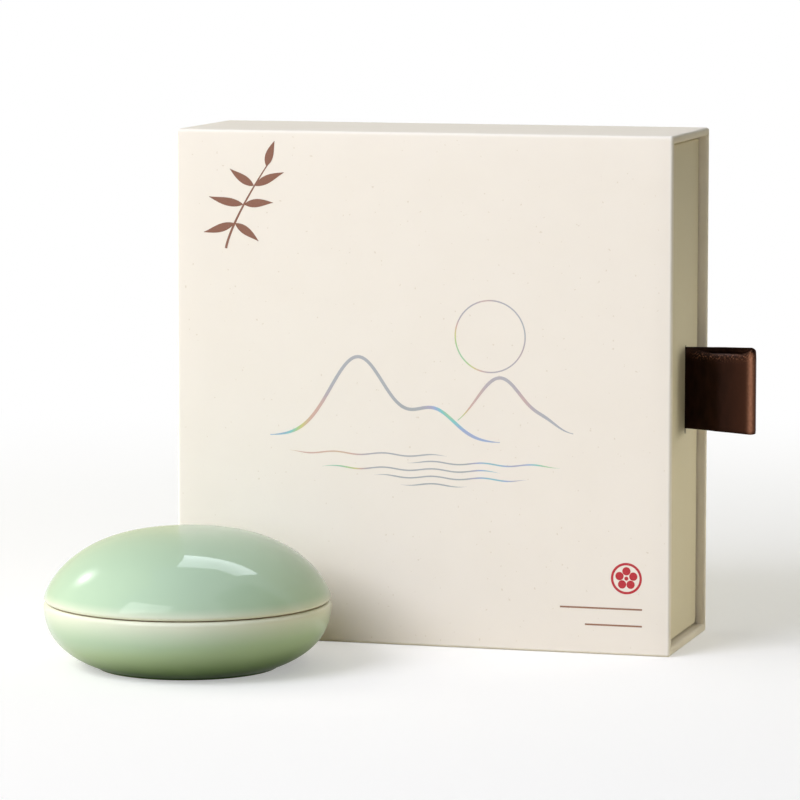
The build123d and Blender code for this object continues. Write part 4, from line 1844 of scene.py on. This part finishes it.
@dataclass
class Studio:
    """The camera, the lamps, the room's light and the pale floor."""

    camera_place: tuple[float, float, float] = (0.36227, -1.32719, 0.22609)
    camera_azimuth: float = 15.8
    camera_elevation: float = 6.47
    lens: float = 209.4
    sensor: float = 36.0
    clip: tuple[float, float] = (0.05, 50.0)
    ambient: Colour = (0.085, 0.079, 0.055)
    floor_seen: Colour = (0.72, 0.712, 0.70)
    floor_glow: float = 0.35
    floor_bounce: Colour = (0.63, 0.57, 0.39)
    floor_radius: float = 4.0
    floor_rings: int = 40
    floor_points: int = 96
    floor_drop: float = 0.02 * MM
    floor_fade: tuple[float, float] = (0.2, 0.6)
    lamps: tuple[Lamp, ...] = (
        Lamp("key_panel", -34, 37, 2.8, 1.65, 1.65, 6.1, (0.90, 0.925, 1.05)),
        Lamp("front_fill_panel", -2, 12, 1.8, 1.1, 0.6, 2.25, (0.90, 0.97, 1.14)),
        Lamp("left_fill_panel", -85, 34, 1.3, 0.9, 0.8, 1.8, (1.0, 0.99, 0.88)),
        Lamp("left_low_panel", -82, 7, 1.2, 0.8, 0.3, 5.0, (1.0, 0.93, 0.74)),
        Lamp("back_fill_panel", 172, 14, 1.3, 1.0, 0.6, 1.4, (0.98, 1.0, 0.92)),
        Lamp("right_fill_panel", 116, 5, 0.6, 0.2, 0.12, 25.0, (1.0, 0.95, 0.76), (0.075, 0.0, 0.028), beam=28.0),
    )
    cards: tuple[Card, ...] = (
        Card(
            "overhead_card",
            (
                (198.0, 44.0), (189.2, 46.0), (180.1, 46.5), (174.1, 46.5), (167.6, 46.0),
                (158.9, 44.5), (148.4, 42.0), (136.5, 56.5), (128.0, 66.0), (140.8, 69.6),
                (155.1, 71.8), (177.7, 75.4), (214.3, 74.1), (201.8, 63.6),
            ),
            6.2,
            (0.96, 1.0, 1.08),
            look=Look.RIMMED,
        ),
        Card("softbox_card", ((-39.3, 21.2), (-41.4, 32.0), (-40.6, 46.1), (-20.0, 47.3), (-17.5, 30.5)), 4.7),
        Card("softbox_side_card", ((-17.5, 30.5), (-20.0, 47.3), (5.5, 45.5), (-2.2, 32.5)), 3.8),
        Card(
            "spot_card",
            ((-125.0, 21.0), (-99.0, 21.0), (-97.0, 46.0), (-127.0, 46.0)),
            13.0,
            look=Look.SPOT,
            distance=1.1,
        ),
        Card("left_wall", ((-178.0, -2.0), (-114.0, -2.0), (-114.0, 70.0), (-178.0, 70.0)), 0.85, WALL, distance=1.7),
        Card("near_wall", ((-114.0, -2.0), (-50.0, -2.0), (-50.0, 70.0), (-114.0, 70.0)), 1.15, WALL, distance=1.7),
        Card(
            "right_wall",
            ((52.0, -2.0), (112.0, -2.0), (112.0, 60.0), (52.0, 60.0)),
            0.2,
            (1.0, 1.0, 0.75),
            distance=1.7,
        ),
    )

    def build(self) -> None:
        """Sets up everything that isn't part of the object."""
        bpy.context.scene.view_settings.view_transform = "Standard"
        self.camera()
        self.world()
        self.floor()
        for light in (*self.lamps, *self.cards):
            light.build()
        log.info("studio: %d lamps and %d cards", len(self.lamps), len(self.cards))

    def camera(self) -> None:
        """The photograph's viewpoint."""
        back = direction(self.camera_azimuth, self.camera_elevation)
        data = bpy.data.cameras.new("camera")
        data.lens = self.lens
        data.sensor_width = self.sensor
        data.clip_start, data.clip_end = self.clip
        camera = bpy.data.objects.new("camera", data)
        bpy.context.scene.collection.objects.link(camera)
        turned = back.to_track_quat("Z", "Y").to_matrix().to_4x4()
        camera.matrix_world = Matrix.Translation(self.camera_place) @ turned
        bpy.context.scene.camera = camera

    def seen(self, tree: Tree) -> Field:
        """One for rays that show a background: camera, glossy and transmission rays.

        Args:
            tree: the nodes that read it.

        Returns:
            One or nothing.
        """
        rays = tree.node("ShaderNodeLightPath")
        kinds = [Field(tree, rays.outputs[f"Is {kind} Ray"]) for kind in ("Camera", "Glossy", "Transmission")]
        return kinds[0].or_more(kinds[1]).or_more(kinds[2])

    def world(self) -> None:
        """White where it is seen, and a low warm light everywhere else."""
        world = bpy.data.worlds.new("room")
        world.use_nodes = True
        bpy.context.scene.world = world
        tree = Tree(world.node_tree)
        colour = tree.blend(self.seen(tree), self.ambient, (1.0, 1.0, 1.0))
        shade = tree.field("ShaderNodeBackground", {}, {"Color": colour, "Strength": 1.0}, "Background")
        tree.node("ShaderNodeOutputWorld", {}, {"Surface": shade})

    def floor(self) -> None:
        """A pale floor that turns into the white background away from the object and keeps its shadow near it."""
        radius = self.floor_radius * np.linspace(0, 1, self.floor_rings)[:, None] ** 2
        turn = np.linspace(0, 2 * np.pi, self.floor_points, endpoint=False)
        level = np.full((self.floor_rings, self.floor_points), -self.floor_drop)
        points = np.stack((radius * np.cos(turn), radius * np.sin(turn), level), -1).reshape(-1, 3)
        faces = grid_faces(self.floor_rings, self.floor_points, False, True)
        mesh = bpy.data.meshes.new("floor")
        mesh.from_pydata(points.tolist(), [], faces.tolist())
        floor = bpy.data.objects.new("floor", mesh)
        bpy.context.scene.collection.objects.link(floor)
        material = bpy.data.materials.new("pale_floor")
        material.use_nodes = True
        tree = Tree(material.node_tree)
        place = tree.place()
        seen = self.seen(tree)
        far = tree.field("ShaderNodeVectorMath", {"operation": "LENGTH"}, {0: place}, "Value").rise(*self.floor_fade)
        grain = tree.noise(place, 0.5 * MM, 2.0)
        lit = tree.field("ShaderNodeBsdfPrincipled", {}, {
            "Base Color": tree.blend(seen, self.floor_bounce, self.floor_seen),
            "Roughness": 0.8 + grain * 0.1,
            "Specular IOR Level": 0.1,
            "Emission Color": tree.blend(seen, (0.0, 0.0, 0.0), (self.floor_glow,) * 3),
            "Emission Strength": 1.0,
        }, "BSDF")
        white = tree.field("ShaderNodeEmission", {}, {"Color": (1.0, 1.0, 1.0), "Strength": 1.0}, "Emission")
        both = tree.field("ShaderNodeMixShader", {}, {0: far * seen, 1: lit, 2: white})
        tree.node("ShaderNodeOutputMaterial", {}, {"Surface": both})
        mesh.materials.append(material)


def main() -> None:
    """Builds the studio and the set, in order."""
    logging.basicConfig(level=logging.INFO, format="%(name)s: %(message)s")
    Studio().build()
    Sleeve().build()
    Drawer().build()
    Ribbon().build()
    Insert().build()
    Pot().build()
    FrontPrint().build()


if __name__ == "__main__":
    main()
